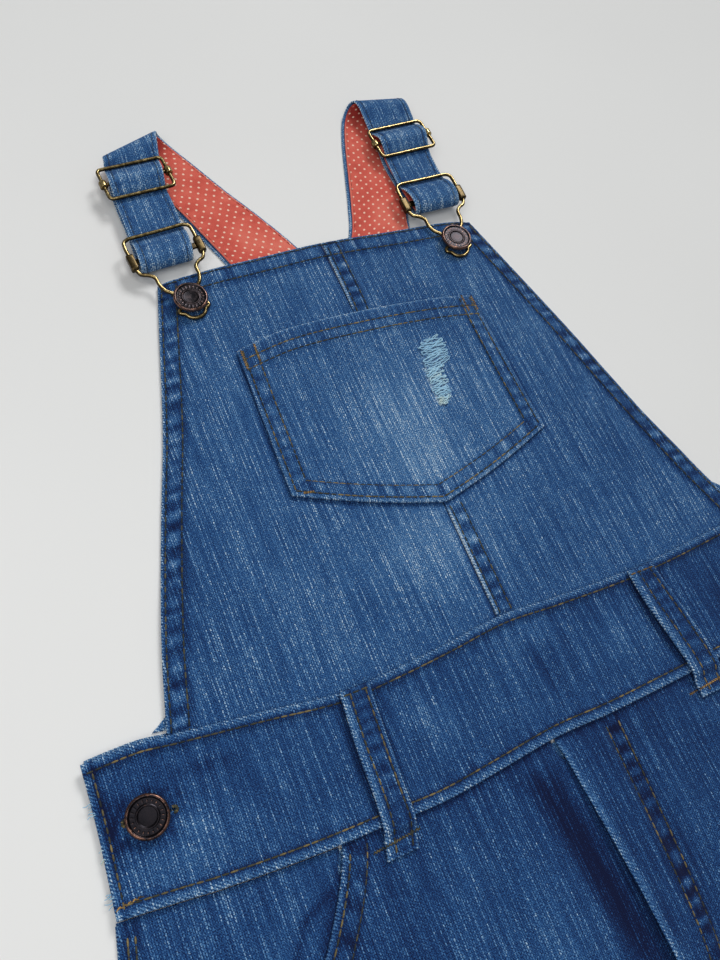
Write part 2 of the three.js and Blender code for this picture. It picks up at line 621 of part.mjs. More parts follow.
// Belt loops: they bridge the waistband from edge to edge and come down on the leg below it
function beltLoop({ rows }) {
  const [top, foot] = [rows[0].y, rows.at(-1).y];
  const edge = bandFoot((rows[0].left + rows[0].right) / 2);
  const bridge = FRONT_REST + BAND_LIFT + FRONT_BAND + GAP;
  const landed = FRONT_REST + CLOTH + GAP;
  const { landing, step, arch } = LOOP_FORM;
  const lower = (x, y) => {
    const climbed = ramp(edge - landing, edge - step, y);
    return landed + (bridge - landed) * climbed + arch * Math.sin(Math.PI * ramp(edge, top, y));
  };
  const climb = [foot, foot + 3, edge - landing, edge - (landing + step) / 2];
  const heights = [...climb, ...stops(edge - step, top, [0], 6, [0])];
  const plan = heights.map((y) => {
    const left = along(rows, "y", "left", y);
    return stops(left, along(rows, "y", "right", y), [0], 3, [0]).map((x) => [x, y]);
  });
  return panel(plan, lower, (x, y) => lower(x, y) + LOOP_CLOTH);
}

// Front legs. `side` is -1 for the viewer's left and 1 for the right
function foldHeight(x, y) {
  let height = 0;
  for (const fold of LEG_FOLDS) {
    const [dx, dy] = [fold.x1 - fold.x0, fold.y1 - fold.y0];
    const t = ((x - fold.x0) * dx + (y - fold.y0) * dy) / (dx * dx + dy * dy);
    const away = ((x - fold.x0) * dy - (y - fold.y0) * dx) / Math.hypot(dx, dy);
    const ends = ramp(FOLD_TAPER.from, FOLD_TAPER.full, t) * (1 - ramp(FOLD_TAPER.fall, FOLD_TAPER.end, t));
    height += fold.height * ends * Math.exp(-((away / fold.width) ** 2));
  }
  return height;
}

// The right leg laps over the left one at the fly and stands up in a ridge along its edge
function flyHeight(x, y) {
  const beside = x - flyEdge(y);
  const length = ramp(FLY_LAP.foot, FLY_LAP.full, y) * (1 - ramp(FLY_LAP.low, FLY_LAP.top, y));
  const lap = BAND_LIFT * length * (1 - ramp(FLY_WIDTH, FLY_WIDTH + FLY_SEAM_STEP, beside));
  return lap + along(FLY_RIDGE, "y", "height", y) * Math.exp(-Math.max(0, beside) / RIDGE_REACH);
}

function legLower(x, y, side) {
  const overHem = HEM_RISE * (1 - ramp(HEM_ROOM.low, HEM_ROOM.high, y));
  const toOpening = openingX(y) - Math.abs(x);
  const { near, far, foot, full, low, top } = FACING_ROOM;
  const beside = 1 - ramp(near, far, toOpening);
  const overFacing = FACING_LIFT * beside * ramp(foot, full, y) * (1 - ramp(low, top, y));
  const toFly = Math.abs(x - flyEdge(y));
  const calm = side < 0 ? FLY_CALM.left : FLY_CALM.right;
  const shown = ramp(calm.from, calm.full, toFly) * (1 - ramp(FOLDS_END.low, FOLDS_END.top, y));
  const folds = foldHeight(x, y) * shown;
  return FRONT_REST + overHem + overFacing + folds + (side > 0 ? flyHeight(x, y) : 0);
}

function legUpper(x, y, side) {
  const atOpening = y > OPENING_FOOT ? turned(OPENING_HEM, openingX(y) - Math.abs(x)) : 0;
  const atHem = turned(LEG_HEM, y - hemFoot(x));
  const clear = 1 - ramp(bandFoot(x) - BAND_CLEAR.far, bandFoot(x) - BAND_CLEAR.near, y);
  return legLower(x, y, side) + CLOTH + Math.max(atOpening, atHem) * clear;
}

function innerEdge(y, side) {
  if (y < CROTCH) return side * inseamX(y);
  return flyEdge(y) + (side > 0 ? GAP / 2 : along(FLY_UNDERLAP, "y", "reach", y));
}

function frontLeg(side) {
  const opening = [0, OPENING_HEM, OPENING_HEM + HEM_STEP];
  const fly = [0, FLY_EDGE_STOP, FLY_WIDTH, FLY_WIDTH + FLY_SEAM_STEP];
  const across = (y) => {
    const [outer, inner] = [side * openingX(y), innerEdge(y, side)];
    return side < 0 ? stops(outer, inner, opening, 7, [0]) : stops(inner, outer, fly, 6, opening);
  };
  const up = (x) => {
    const hem = [0, LEG_HEM, LEG_HEM + HEM_STEP].map((offset) => hemFoot(x) + offset);
    const head = [-BAND_CLEAR.far, -BAND_CLEAR.near, TUCK].map((offset) => bandFoot(x) + offset);
    return [...hem, ...FRONT_LEG_ROWS, ...head];
  };
  const plan = planGrid(across, up, side * LEG_GUIDE_X);
  const lower = (x, y) => legLower(x, y, side);
  return panel(plan, lower, (x, y) => legUpper(x, y, side));
}

// The piece seen inside a hip pocket, which runs under the leg's cut edge
function pocketFacing(side) {
  const { foot, low, top, underlap, short, edge } = FACING;
  const across = (y) => {
    const clear = ramp(low, top, y);
    const inner = side * (openingX(Math.max(y, OPENING_FOOT)) - underlap * (1 - clear) + short * clear);
    const outer = side * (sideSeam(y) - edge);
    return side < 0 ? stops(outer, inner, [0], 5, [0]) : stops(inner, outer, [0], 5, [0]);
  };
  const up = (x) => stops(foot, bandFoot(x) - GAP, [0], 10, [0]);
  const rest = () => FACING_REST;
  return panel(planGrid(across, up, side * LEG_GUIDE_X), rest, () => FACING_REST + FACING_CLOTH);
}

// The surface where a strap's denim and lining meet: a point at share u across and s along its rows
function strapPoint(rows, u, s) {
  const k = Math.min(rows.length - 2, Math.floor(s));
  const t = s - k;
  const at = (key) => {
    const [a, b, c, d] = [-1, 0, 1, 2].map((n) => rows[Math.min(rows.length - 1, Math.max(0, k + n))][key]);
    return b + 0.5 * t * (c - a + t * (2 * a - 5 * b + 4 * c - d + t * (3 * (b - c) + d - a)));
  };
  const left = new THREE.Vector3(at("leftX"), at("leftY"), at("leftZ"));
  const right = new THREE.Vector3(at("rightX"), at("rightY"), at("rightZ"));
  return left.lerp(right, u);
}

// One layer of a strap between two distances from that surface, on its denim side
function strapLayer(rows, near, far, inset) {
  const last = rows.length - 1;
  const step = 0.02;
  const point = (distance) => (i, j) => {
    const s = Math.min(last, j / STRAP_STEPS);
    const width = strapPoint(rows, 1, s).distanceTo(strapPoint(rows, 0, s));
    const u = inset / width + STRAP_COLUMNS[i] * (1 - (2 * inset) / width);
    const ahead = strapPoint(rows, u, Math.min(last, s + step));
    const run = ahead.sub(strapPoint(rows, u, Math.max(0, s - step)));
    const sideways = strapPoint(rows, 1, s).sub(strapPoint(rows, 0, s));
    const normal = run.cross(sideways).normalize();
    return strapPoint(rows, u, s).addScaledVector(normal, distance).toArray();
  };
  return shell(STRAP_COLUMNS.length, last * STRAP_STEPS + 1, point(near), point(far));
}

// A wire of round section along a closed loop of points
function wireLoop(points) {
  const positions = [];
  const index = [];
  points.forEach((point, j) => {
    const before = points[(j + points.length - 1) % points.length];
    const after = points[(j + 1) % points.length];
    const tangent = after.clone().sub(before).normalize();
    const out = tangent.clone().cross(new THREE.Vector3(0, 0, 1)).normalize();
    const up = out.clone().cross(tangent);
    const next = ((j + 1) % points.length) * WIRE_SIDES;
    for (let i = 0; i < WIRE_SIDES; i += 1) {
      const angle = ((i + 0.5) / WIRE_SIDES) * 2 * Math.PI;
      const rim = point.clone().addScaledVector(out, WIRE_RADIUS * Math.cos(angle));
      positions.push(...rim.addScaledVector(up, WIRE_RADIUS * Math.sin(angle)).toArray());
      const turn = (i + 1) % WIRE_SIDES;
      const [a, b] = [j * WIRE_SIDES + i, j * WIRE_SIDES + turn];
      index.push(a, next + turn, b, a, next + i, next + turn);
    }
  });
  return indexed(positions, index);
}

// Slider: a wire rectangle with round corners, and a bar whose ends are wrapped round its sides
function sliderFrame() {
  const points = [];
  const [x, y] = [SLIDER_HALF_WIDTH - SLIDER_CORNER, SLIDER_HALF_HEIGHT - SLIDER_CORNER];
  const corners = [
    { x, y: -y, from: -90 },
    { x, y, from: 0 },
    { x: -x, y, from: 90 },
    { x: -x, y: -y, from: 180 },
  ];
  for (const corner of corners) {
    for (const step of [0, 22.5, 45, 67.5, 90]) {
      const angle = THREE.MathUtils.degToRad(corner.from + step);
      const [c, s] = [Math.cos(angle), Math.sin(angle)];
      points.push(new THREE.Vector3(corner.x + SLIDER_CORNER * c, corner.y + SLIDER_CORNER * s, 0));
    }
  }
  return wireLoop(points);
}

// A bar joined to a sleeve at each end, each bored for the wire it is wrapped round
function barWithSleeves(bar, sleeve, halfWidth, y, { length, hole }) {
  let made = solid(bar);
  for (const side of [-1, 1]) {
    const bore = new THREE.CylinderGeometry(hole, hole, length + 2, 12);
    const outer = sleeve.clone().translate(side * halfWidth, y, 0);
    made = made.add(solid(outer).subtract(solid(bore.translate(side * halfWidth, y, 0))));
  }
  return geometryOf(made);
}

function sliderBar() {
  const { radius, length, hole } = SLIDER_SLEEVE;
  const reach = SLIDER_HALF_WIDTH - hole - BAR_JOIN;
  const bar = new THREE.CylinderGeometry(SLIDER_BAR_RADIUS, SLIDER_BAR_RADIUS, 2 * reach, 10);
  const sleeve = new THREE.CylinderGeometry(radius, radius, length, 12);
  return barWithSleeves(bar.rotateZ(Math.PI / 2), sleeve, SLIDER_HALF_WIDTH, 0, SLIDER_SLEEVE);
}

// Buckle: one wire bent into a frame and a keyhole, and a flat bar folded round its sides
function buckleWire() {
  const half = BUCKLE_WIRE.map(({ x, y }) => new THREE.Vector3(x, y, 0));
  const other = half.slice(1, -1).reverse();
  const mirrored = other.map(({ x, y }) => new THREE.Vector3(-x, y, 0));
  const loop = new THREE.CatmullRomCurve3([...half, ...mirrored], true, "centripetal");
  return wireLoop(loop.getSpacedPoints(WIRE_SECTIONS).slice(0, -1).reverse());
}

function buckleBar() {
  const { y, depth, thickness } = BUCKLE_BAR;
  const { width, length, height, hole } = BUCKLE_SLEEVE;
  const reach = BUCKLE_HALF_WIDTH - hole - BAR_JOIN;
  const bar = new THREE.BoxGeometry(2 * reach, depth, thickness).translate(0, y, 0);
  const sleeve = new THREE.BoxGeometry(width, length, height);
  return barWithSleeves(bar, sleeve, BUCKLE_HALF_WIDTH, y, BUCKLE_SLEEVE);
}

function button() {
  const profile = BUTTON_PROFILE.map(({ r, z }) => new THREE.Vector2(r, z));
  return new THREE.LatheGeometry(profile, BUTTON_SEGMENTS).rotateX(Math.PI / 2);
}

// Materials
const cloth = (color) => new THREE.MeshStandardMaterial({ color, roughness: 0.95, metalness: 0 });
const metal = (color) => new THREE.MeshStandardMaterial({ color, roughness: 0.4, metalness: 0.9 });
const DENIM = cloth(0x3d6aa3);
const LINING = cloth(0xd45f51);
const BRASS = metal(0x7d6636);
const COPPER = metal(0x4a3a38);

const shortalls = new THREE.Group();

function add(name, geometry, material, parent = shortalls) {
  const mesh = new THREE.Mesh(geometry, material);
  mesh.name = name;
  parent.add(mesh);
  return mesh;
}

// A group turned about z and then tilted up towards the shoulder, for a piece of wire hardware
function placed({ x, y, turn }, z, tilt) {
  const turnedGroup = new THREE.Group();
  turnedGroup.position.set(x, y, z);
  turnedGroup.rotation.z = THREE.MathUtils.degToRad(turn);
  const tiltedGroup = new THREE.Group();
  tiltedGroup.rotation.x = THREE.MathUtils.degToRad(tilt);
  turnedGroup.add(tiltedGroup);
  shortalls.add(turnedGroup);
  return tiltedGroup;
}

for (const { side, sign } of [
  { side: "left", sign: -1 },
  { side: "right", sign: 1 },
]) {
  add(`bib_${side}`, bibPanel(side), DENIM);
  add(`leg_front_${side}`, frontLeg(sign), DENIM);
  add(`leg_back_${side}`, backLeg(sign), DENIM);
  add(`pocket_facing_${side}`, pocketFacing(sign), DENIM);
  const waistButton = add(`waist_button_${side}`, button(), COPPER);
  waistButton.position.set(sign * WAIST_BUTTON.x, WAIST_BUTTON.y, BACK_BAND + GAP);
}
add("bib_pocket", pocketPanel(), DENIM);
add("bib_back", backBibPanel(), DENIM);
add("waistband_front", frontBand(), DENIM);
add("waistband_back", backBand(), DENIM);
for (const loop of BELT_LOOPS) add(loop.name, beltLoop(loop), DENIM);

for (const { side, slider, buckle, rows } of STRAPS) {
  const outer = GAP / 2 + STRAP_LAYER;
  add(`strap_${side}`, strapLayer(rows, GAP / 2, outer, 0), DENIM);
  add(`strap_lining_${side}`, strapLayer(rows, -outer, -GAP / 2, LINING_INSET), LINING);
  const sliderPlace = placed(slider, SLIDER_HEIGHT, 0);
  add(`slider_frame_${side}`, sliderFrame(), BRASS, sliderPlace);
  add(`slider_bar_${side}`, sliderBar(), BRASS, sliderPlace);
  const seat = bibLower(buckle.x, buckle.y) + CLOTH + GAP;
  const bucklePlace = placed(buckle, seat + BUCKLE_RISE, BUCKLE_TILT);
  add(`buckle_wire_${side}`, buckleWire(), BRASS, bucklePlace);
  add(`buckle_bar_${side}`, buckleBar(), BRASS, bucklePlace);
  const bibButton = add(`bib_button_${side}`, button(), COPPER);
  bibButton.position.set(buckle.x, buckle.y, seat);
}

// The origin: the middle of the underside
shortalls.updateMatrixWorld(true);
const middle = new THREE.Box3().setFromObject(shortalls, true).getCenter(new THREE.Vector3());
shortalls.position.set(-middle.x, -middle.y, 0);

export default shortalls;
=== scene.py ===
"""Denim bib shortalls laid flat on their back: cloth, stitching, straps, wire and buttons.

Lengths are millimetres. Plan positions are counted from the centre front, where the bib meets the
waistband: x to the viewer's right, y towards the shoulders, z up from the table.
"""

import math

import bpy
import numpy as np
from mathutils import Matrix, Vector


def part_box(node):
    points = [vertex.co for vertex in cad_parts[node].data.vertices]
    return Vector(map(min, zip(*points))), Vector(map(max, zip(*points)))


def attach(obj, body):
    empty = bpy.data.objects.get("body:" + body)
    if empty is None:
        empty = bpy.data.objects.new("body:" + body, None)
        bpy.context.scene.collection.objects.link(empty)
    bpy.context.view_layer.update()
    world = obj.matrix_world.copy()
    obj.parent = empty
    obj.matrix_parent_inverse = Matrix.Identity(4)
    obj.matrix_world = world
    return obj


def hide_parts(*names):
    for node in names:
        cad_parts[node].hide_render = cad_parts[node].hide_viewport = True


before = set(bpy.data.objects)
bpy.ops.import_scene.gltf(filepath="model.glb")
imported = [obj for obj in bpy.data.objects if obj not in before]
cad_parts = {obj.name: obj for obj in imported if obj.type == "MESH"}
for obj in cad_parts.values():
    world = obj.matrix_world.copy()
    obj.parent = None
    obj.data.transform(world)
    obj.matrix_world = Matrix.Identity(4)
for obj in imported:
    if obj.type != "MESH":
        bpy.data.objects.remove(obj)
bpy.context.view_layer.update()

MM = 0.001
SIDES = {"left": -1, "right": 1}  # the viewer's left and right, and the sign of x there


def table(names, *rows):
    """Rows of numbers as named columns."""
    return dict(zip(names.split(), np.array(rows, float).T))


# Cloth thicknesses and the air between pieces
GAP = 0.3
CLOTH = 1.2
BACK_BAND = 1.6
FRONT_BAND = 2.2
LOOP_CLOTH = 2.0
HEM_RISE = 0.8
HEM_WIDTH = 9.5
HEM_STEP = 1.0
TUCK = 4
FRONT_REST = BACK_BAND + GAP
BAND_LIFT = CLOTH + GAP
BAND_SLOPE = 3
BAND_CLEAR = {"near": 0.3, "far": 1.8}
EDGE_ROUND = 1.3  # a cloth edge is rounded over this distance
EDGE_SHARE = 0.25  # the share of the thickness left at the very edge

# Outlines
BIB_SIDE = table(
    "y left right",
    (-10, -157, 153), (3, -153.8, 150), (40, -144, 137.5), (91, -127.6, 123.6),
    (132, -113.6, 113.2), (188, -97.4, 97.4), (218, -88.6, 88.8),
)
BIB_TOP = table(
    "x y", (-92, 211.5), (-84, 213), (-40, 215), (0, 216.6), (40, 215), (84, 213.6), (92, 212)
)
BIB_SEAM = table("y x", (-10, -1.6), (60, -0.6), (220, 0.2))
SEAM_WIDTH = 9.2
SEAM_FLAT = {"from": 54, "foot": 57, "head": 171.8, "to": 174.8}
STRAP_LIFT = {"height": 0.9, "from": 150, "full": 186, "middle": 4, "flat": 60, "reach": 82}
BIB_DROOP = {"height": 1.3, "width": 14, "from": 44, "full": 76}
BACK_BIB_SIDE = table(
    "y left right",
    (3, -166, 173), (7, -158, 166), (14, -147, 157.5), (26, -132, 144.5), (45, -115, 126),
    (80, -92, 102), (130, -66, 76), (190, -44, 54),
)
BACK_BIB_TOP = 190
BAND_END = table("y x", (-56, 190.6), (-40, 189.4), (-20, 188), (8, 187.2))
BAND = table(
    "x top foot",
    (-191, 4.1, -52.6), (-166, 4.7, -55.4), (-152, 2.8, -57.2), (-115, -1.8, -60), (-83, -6, -61),
    (-58, -5.2, -61.8), (-30, -3, -59.6), (0, 0, -57), (29, -1.2, -57.2), (68, -1.9, -55.8),
    (100, -0.4, -54.4), (132, 2.4, -53), (165, 4.8, -51.6), (191, 5, -50.4),
)
BACK_SEAM = 1.2
BACK_BAND_INSET = 1.5
PEEK = 1.5
POCKET_SIDE = table("y left right", (58, -69.6, 68.6), (82, -69, 68), (170, -66.3, 66.3))
POCKET_TOP = table(
    "x y", (-70, 162.5), (-62, 164.8), (-38, 168.6), (0, 168.8), (40, 166.8), (70, 163.4)
)
POCKET_FOOT = {"left": 84, "middle": 58.6, "right": 81, "half_width": 69, "sag": 1.6}
FOOT_SLANT = 0.94  # distance from the pocket's slanting foot for each millimetre above it
POCKET_MOUTH_HEM = 13
POCKET_EDGE_HEM = 8.5
POCKET_GAPE = {"height": 2.2, "half_width": 66, "from": 118, "full": 168}
SIDE_SEAM = table(
    "y x",
    (-50, 190.6), (-66, 194), (-110, 205), (-155, 216.5), (-200, 227), (-250, 238), (-300, 248),
    (-340, 256),
)
CROTCH = -262
HEM_OUTER = -338
HEM_INNER = -346
INSEAM_HEM_X = 14
INSEAM_BEND = 0.8
LEG_HEM = 20
HEM_ROOM = {"low": HEM_OUTER + LEG_HEM - 4, "high": HEM_OUTER + LEG_HEM + 8}
FLY_EDGE = table(
    "y x",
    (-50, -2), (-62, -2), (-80, -1), (-100, 0.2), (-120, 1.3), (-140, 2), (-180, 2.4), (-230, 1.6),
    (-262, 0),
)
FLY_UNDERLAP = table(
    "y reach",
    (-50, -0.3), (-66, -0.3), (-69.6, 15), (-165, 16), (-182, 9), (-190, -0.3), (-262, -0.3),
)
FLY_LAP = {"foot": -200, "full": -190, "low": -66, "top": -58}
FLY_WIDTH = 20
FLY_SEAM_STEP = 5
FLY_RIDGE = table(
    "y height",
    (-58, 0), (-80, 1.3), (-105, 2.6), (-140, 3.6), (-185, 3), (-235, 1), (-262, 0.2),
)
RIDGE_REACH = 8
FLY_STITCH = table(
    "y inner outer",
    (-52, 23.8, 30.5), (-60, 23.5, 30.2), (-100, 21.8, 28.8), (-140, 19.7, 26.3), (-158, 17, 23),
    (-170, 13, 18), (-178, 7.4, 10),
)
POCKET_OPENING = table(
    "y x",
    (-50, 102.5), (-61, 104.6), (-72, 110), (-84, 117.8), (-96, 127), (-111, 140.5), (-127, 158),
    (-140, 177), (-148, 196), (-153, 215.6),
)
OPENING_FOOT = -153
OPENING_HEM = 9
FACING_REST = 1.5
FACING_CLOTH = 1
FACING_LIFT = FACING_REST + FACING_CLOTH + 2 * GAP - FRONT_REST
FACING = {"foot": -150, "low": -76, "top": -68, "underlap": 4, "short": 1.2, "edge": 0.4}
FACING_ROOM = {"near": 6, "far": 16, "foot": -159, "full": -150, "low": -70, "top": -62}

# Soft folds: a ridge, or a trough where the height is below 0, along a line between two points
LEG_FOLDS = table(
    "x0 y0 x1 y1 height width",
    (-32, -78, -40, -215, 3.4, 17), (-92, -120, -112, -255, 2.2, 20),
    (-168, -190, -178, -300, 2, 24), (62, -96, 70, -235, 2.3, 19),
    (122, -150, 140, -285, 2.6, 23), (178, -200, 186, -300, 1.7, 20),
)
FOLDS_END = {"low": -98, "top": -76}
FOLD_TAPER = {"from": -0.12, "full": 0.3, "fall": 0.7, "end": 1.12}  # shares of a fold's length
FLY_CALM = {-1: (4, 26), 1: (22, 44)}  # each leg's folds grow over these distances from the fly
BIB_CALM = (10, 22)  # the bib's creases grow over these distances in from its edge
CREASES_END = {"foot": -326, "full": -312, "low": -72, "top": -66}
FLY_SHADOW = {"x": -14, "y": -80, "lean": 0.14, "width": 7}  # painted shadow of the fly's ridge over darker cloth, beside the fly on the left
LEG_CREASES = table(
    "x0 y0 x1 y1 height width",
    (-113, -74, -137, -97, -0.6, 4), (-98, -66, -104, -104, 0.45, 5),
    (-58, -68, -70, -120, 0.5, 6), (-14.8, -74, -4.4, -148, -0.9, 6),
    (-24, -150, -70, -190, -0.5, 8), (-60, -200, -110, -214, 0.4, 7),
    (38, -72, 42, -118, 0.5, 6), (60, -66, 96, -92, 0.4, 5), (92, -70, 84, -128, -0.5, 7),
    (30, -160, 74, -182, -0.5, 7), (108, -92, 124, -150, 0.5, 7),
    (-140, -170, -196, -196, 0.5, 9), (150, -176, 204, -202, 0.5, 9),
)
# Painted shadow lines on the facing beside the pocket opening: they only darken the colour, and don't shape
# the cloth.
FACING_SHADOW_LINES = table(
    "x0 y0 x1 y1 height width",
    (-112, -73.5, -131, -81, 1, 1.5), (-127, -79, -138, -95, 1, 1.5), (118, -76, 140, -86, 0.6, 2),
)
FACING_ROLLS = table(
    "x0 y0 x1 y1 height width", (-118, -70, -140, -80, 0.5, 5), (-136, -80, -147, -100, 0.5, 5),
)
BIB_CREASES = table(
    "x0 y0 x1 y1 height width",
    (-120, 60, -60, 28, 0.25, 9), (-96, 190, -78, 120, 0.22, 8), (104, 170, 84, 96, 0.25, 9),
    (-30, 205, -26, 176, -0.2, 7), (44, 206, 52, 172, 0.2, 7), (120, 40, 62, 22, 0.25, 9),
    (-12, 50, -18, 12, 0.2, 8), (18, 48, 30, 14, -0.18, 8),
)
BAND_CREASES = table(
    "x0 y0 x1 y1 height width",
    (-189, -14, -176, -15.5, -0.4, 2.4), (-190, -28, -177, -25, 0.35, 2.4),
    (-160, -11, -128, -15, -0.3, 3), (-161, -27, -147, -36, 0.28, 3.4),
    (-138, -14, -118, -44, -0.2, 6), (-60, -16, -40, -44, 0.2, 8), (6, -14, 14, -44, -0.22, 6),
    (40, -40, 58, -14, 0.2, 8), (116, -14, 104, -42, -0.2, 7),
    (160, -20, 147, -13, -0.3, 3), (161, -27, 148, -36, 0.28, 3.4),
    (189, -17, 177, -21, -0.5, 2.2), (190, -28, 177, -25, 0.45, 2),
)

BELT_LOOPS = {
    "left": table(
        "y left right",
        (-6.2, -83.6, -70), (-30, -85.8, -71.8), (-50, -86.4, -72.8), (-63, -87.8, -73.6),
        (-73.4, -90.4, -76.6),
    ),
    "right": table(
        "y left right",
        (-2.6, 68.4, 82.8), (-20, 69.2, 85), (-38, 71.8, 87.6), (-50, 73.6, 89.2), (-67.4, 73.6, 88.6),
    ),
}
LOOP_FORM = {"landing": 5.4, "step": 0.6, "arch": 0.5}
LOOP_HEAD_ROW = 2.2
LOOP_FOOT_TACKS = {"left": ((-94, -68.3), (-72.5, -66.8)), "right": ((69, -64), (87, -62.5))}

# Straps: each row is one section from the back of the bib up to the shoulder, forward through the
# slider, round the buckle's bar and back under to the slider
STRAPS = {
    "left": {
        "slider": (-81.5, 274.8, 4.5),
        "buckle": (-78.5, 197.3, 6),
        "rows": table(
            "left_x left_y left_z right_x right_y right_z",
            (-43.5, 190.6, 1.2, -0.6, 190.6, 1.2), (-52.5, 217, 1.2, -12.8, 220.6, 1.2),
            (-59, 235, 1.2, -24.7, 244, 1.2), (-66, 254, 1.2, -36.1, 264, 1.2),
            (-75, 273, 1.2, -47, 285, 1.2), (-85, 285.5, 1.6, -54.5, 298.5, 1.6),
            (-91, 291.5, 4.6, -59.6, 304.4, 4.8), (-93.6, 291.6, 7.8, -61.6, 303.4, 8.6),
            (-94.4, 288.8, 8.8, -63.4, 298, 9.8), (-94.9, 286.4, 7.4, -65, 289.6, 7.9),
            (-95.1, 283.6, 6.1, -65.8, 285.9, 6.1), (-95.6, 279.6, 9, -66.6, 281.9, 9),
            (-96.2, 273.8, 11.6, -67.4, 276, 11.6), (-96, 268, 9.2, -68, 270.2, 9.2),
            (-95.7, 263.9, 6.2, -68.2, 266.2, 6.2), (-95.8, 253, 6.5, -67.8, 255, 6.5),
            (-95.8, 237.4, 6.2, -67.6, 240.3, 6.2), (-96, 232.2, 9, -67.8, 235.2, 9),
            (-96.2, 227, 10.4, -68.2, 229.8, 10.4), (-96.3, 222.2, 10, -68.6, 225, 10),
            (-96.3, 219.2, 7.2, -69, 221.8, 7.2), (-96, 220.8, 4.2, -69, 223.4, 4.2),
            (-95.6, 229, 2.6, -68.6, 230.6, 2.6), (-95.6, 248, 3.4, -68, 248, 3.6),
            (-96, 262.2, 3.6, -68, 264, 3.8), (-96, 271.6, 5.9, -67.8, 273.8, 6),
            (-95.8, 276.6, 6.4, -67.4, 278.8, 6.4),
        ),
    },
    "right": {
        "slider": (72.7, 272.9, 4),
        "buckle": (73.2, 199.4, 2.6),
        "rows": table(
            "left_x left_y left_z right_x right_y right_z",
            (0.6, 190.6, 1.2, 53.6, 190.6, 1.2), (18.2, 219.7, 1.2, 55, 216.3, 1.2),
            (25.8, 238.6, 1.2, 60.5, 233, 1.2), (32.2, 257.7, 1.2, 66, 250, 1.2),
            (40.6, 282.6, 1.2, 73, 272, 1.2), (47, 298, 1.7, 79.6, 291, 1.6),
            (52, 304.8, 4.8, 84, 300.4, 4.6), (55.2, 305, 8.2, 86.2, 302, 8),
            (56.2, 299, 9.8, 86.8, 297, 9.6), (56.3, 287.4, 8.2, 87, 288.6, 8.1),
            (57, 281.7, 6.1, 87.2, 283.8, 6.1), (57, 277.4, 9.2, 87.4, 279.6, 9.2),
            (57.4, 271.8, 11.6, 87.6, 274, 11.6), (57.9, 266, 9.2, 87.2, 268.2, 9.2),
            (58.2, 261.9, 6.3, 87, 264, 6.3), (57.4, 253, 6.6, 85.8, 254.6, 6.6),
            (57, 240.6, 6.8, 85.6, 242, 6.8), (57.4, 235.4, 9.6, 86.2, 236.8, 9.6),
            (58, 230.2, 11, 86.6, 231.4, 11), (58.4, 225.4, 10.6, 86.6, 226.6, 10.6),
            (58.6, 222.3, 7.8, 86.6, 223.5, 7.8), (58.8, 223.8, 4.9, 86.4, 225, 4.7),
            (58.4, 231, 4, 86.2, 232.4, 3.4), (57.4, 248, 3.9, 86, 249, 3.6),
            (57, 260.4, 3.8, 86.4, 262.2, 3.8), (57, 269.8, 6, 86.8, 272, 6),
            (57, 274.8, 6.4, 86.8, 277, 6.4),
        ),
    },
}
STRAP_LAYER = 1.0
LINING_INSET = 1.7
SHOULDER_RISE = 3.5  # the height at which a strap turns over at the shoulder

# Distances of stitch rows in from the edges that they follow
BIB_SIDE_ROWS = (2, 9.3)
BIB_TOP_ROWS = (1.6, 9)
SEAM_ROWS = (2, 8)
POCKET_EDGE_ROWS = (2.5, 8.7)
POCKET_MOUTH_ROWS = (6.5, 12)
BAND_ROWS = {"top": 4.0, "foot": 4.5, "end": 3.5}
LOOP_ROWS = {"left": (4.2, 2.4), "right": (5.3, 2.9)}
OPENING_ROWS = (3, 10)
OUTSEAM_ROWS = (2.3, 8)
FACING_ROWS = (4, 6.8)
LEG_HEM_ROWS = (3, LEG_HEM - 1.5)
STRAP_ROW = 2.9

# Wire and buttons
WIRE_RADIUS = 0.95
WIRE_SIDES = 14
SLIDER_HALF_WIDTH = 17.4
SLIDER_HALF_HEIGHT = 9.9
SLIDER_CORNER = 2.2
SLIDER_HEIGHT = 9
SLIDER_BAR_RADIUS = 0.95
SLIDER_SLEEVE = {"radius": 2.1, "length": 3.8}
BUCKLE_HALF_WIDTH = 17.9
BUCKLE_RISE = 2.05
BUCKLE_TILT = 5.1
BUCKLE_BAR = {"y": 28.4, "depth": 3.4, "thickness": 1.2}
BUCKLE_SLEEVE = {"width": 3.9, "length": 9, "height": 3.4}
BUCKLE_WIRE = [
    (0, 42), (8, 42), (14.6, 41.9), (17.2, 40.6), (17.9, 37.6), (17.9, 33), (17.9, 28.4),
    (17.8, 24.6), (16.4, 21.2), (13.2, 19.6), (10.9, 17.4), (10.5, 13), (9, 9), (5.6, 5.6),
    (4.3, 1.6), (4.7, -1.6), (7.2, -3.4), (7.6, -5), (5.4, -6.3), (4.3, -8.1), (2.3, -9.4), (0, -9.8),
]
WAIST_BUTTON = {"x": 169.7, "y": -23}
BUTTONHOLE = {"eyelet": 3.1, "length": 20, "width": 1.2, "reach": 9, "far_y": -21.9, "near_y": -23.9}

# The camera that took the photograph, in plan millimetres, and its focal length in pixels
CAMERA_AT = (-179.24, -54.43, 371.00)
CAMERA_LOOK = (0.34533, 0.32699, -0.87967)
CAMERA_UP = (0.27308, 0.86177, 0.42754)
FOCAL_PIXELS = 892.59
LONG_SIDE_PIXELS = 960
SENSOR = 36
CLIP = (0.01, 50)
FLOOR_HALF = 3.0


def plan_shift():
    """From plan positions to the frame's, by where the left waist button lies in both."""
    low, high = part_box("waist_button_left")
    middle = (low + high) / 2 / MM
    return np.array([middle.x + WAIST_BUTTON["x"], middle.y - WAIST_BUTTON["y"], 0])


SHIFT = plan_shift()


# Curves and grids


def ramp(a, b, x):
    """A smooth step from 0 at a to 1 at b: 3t^2 - 2t^3."""
    t = np.clip((np.asarray(x, float) - a) / (b - a), 0, 1)
    return t * t * (3 - 2 * t)


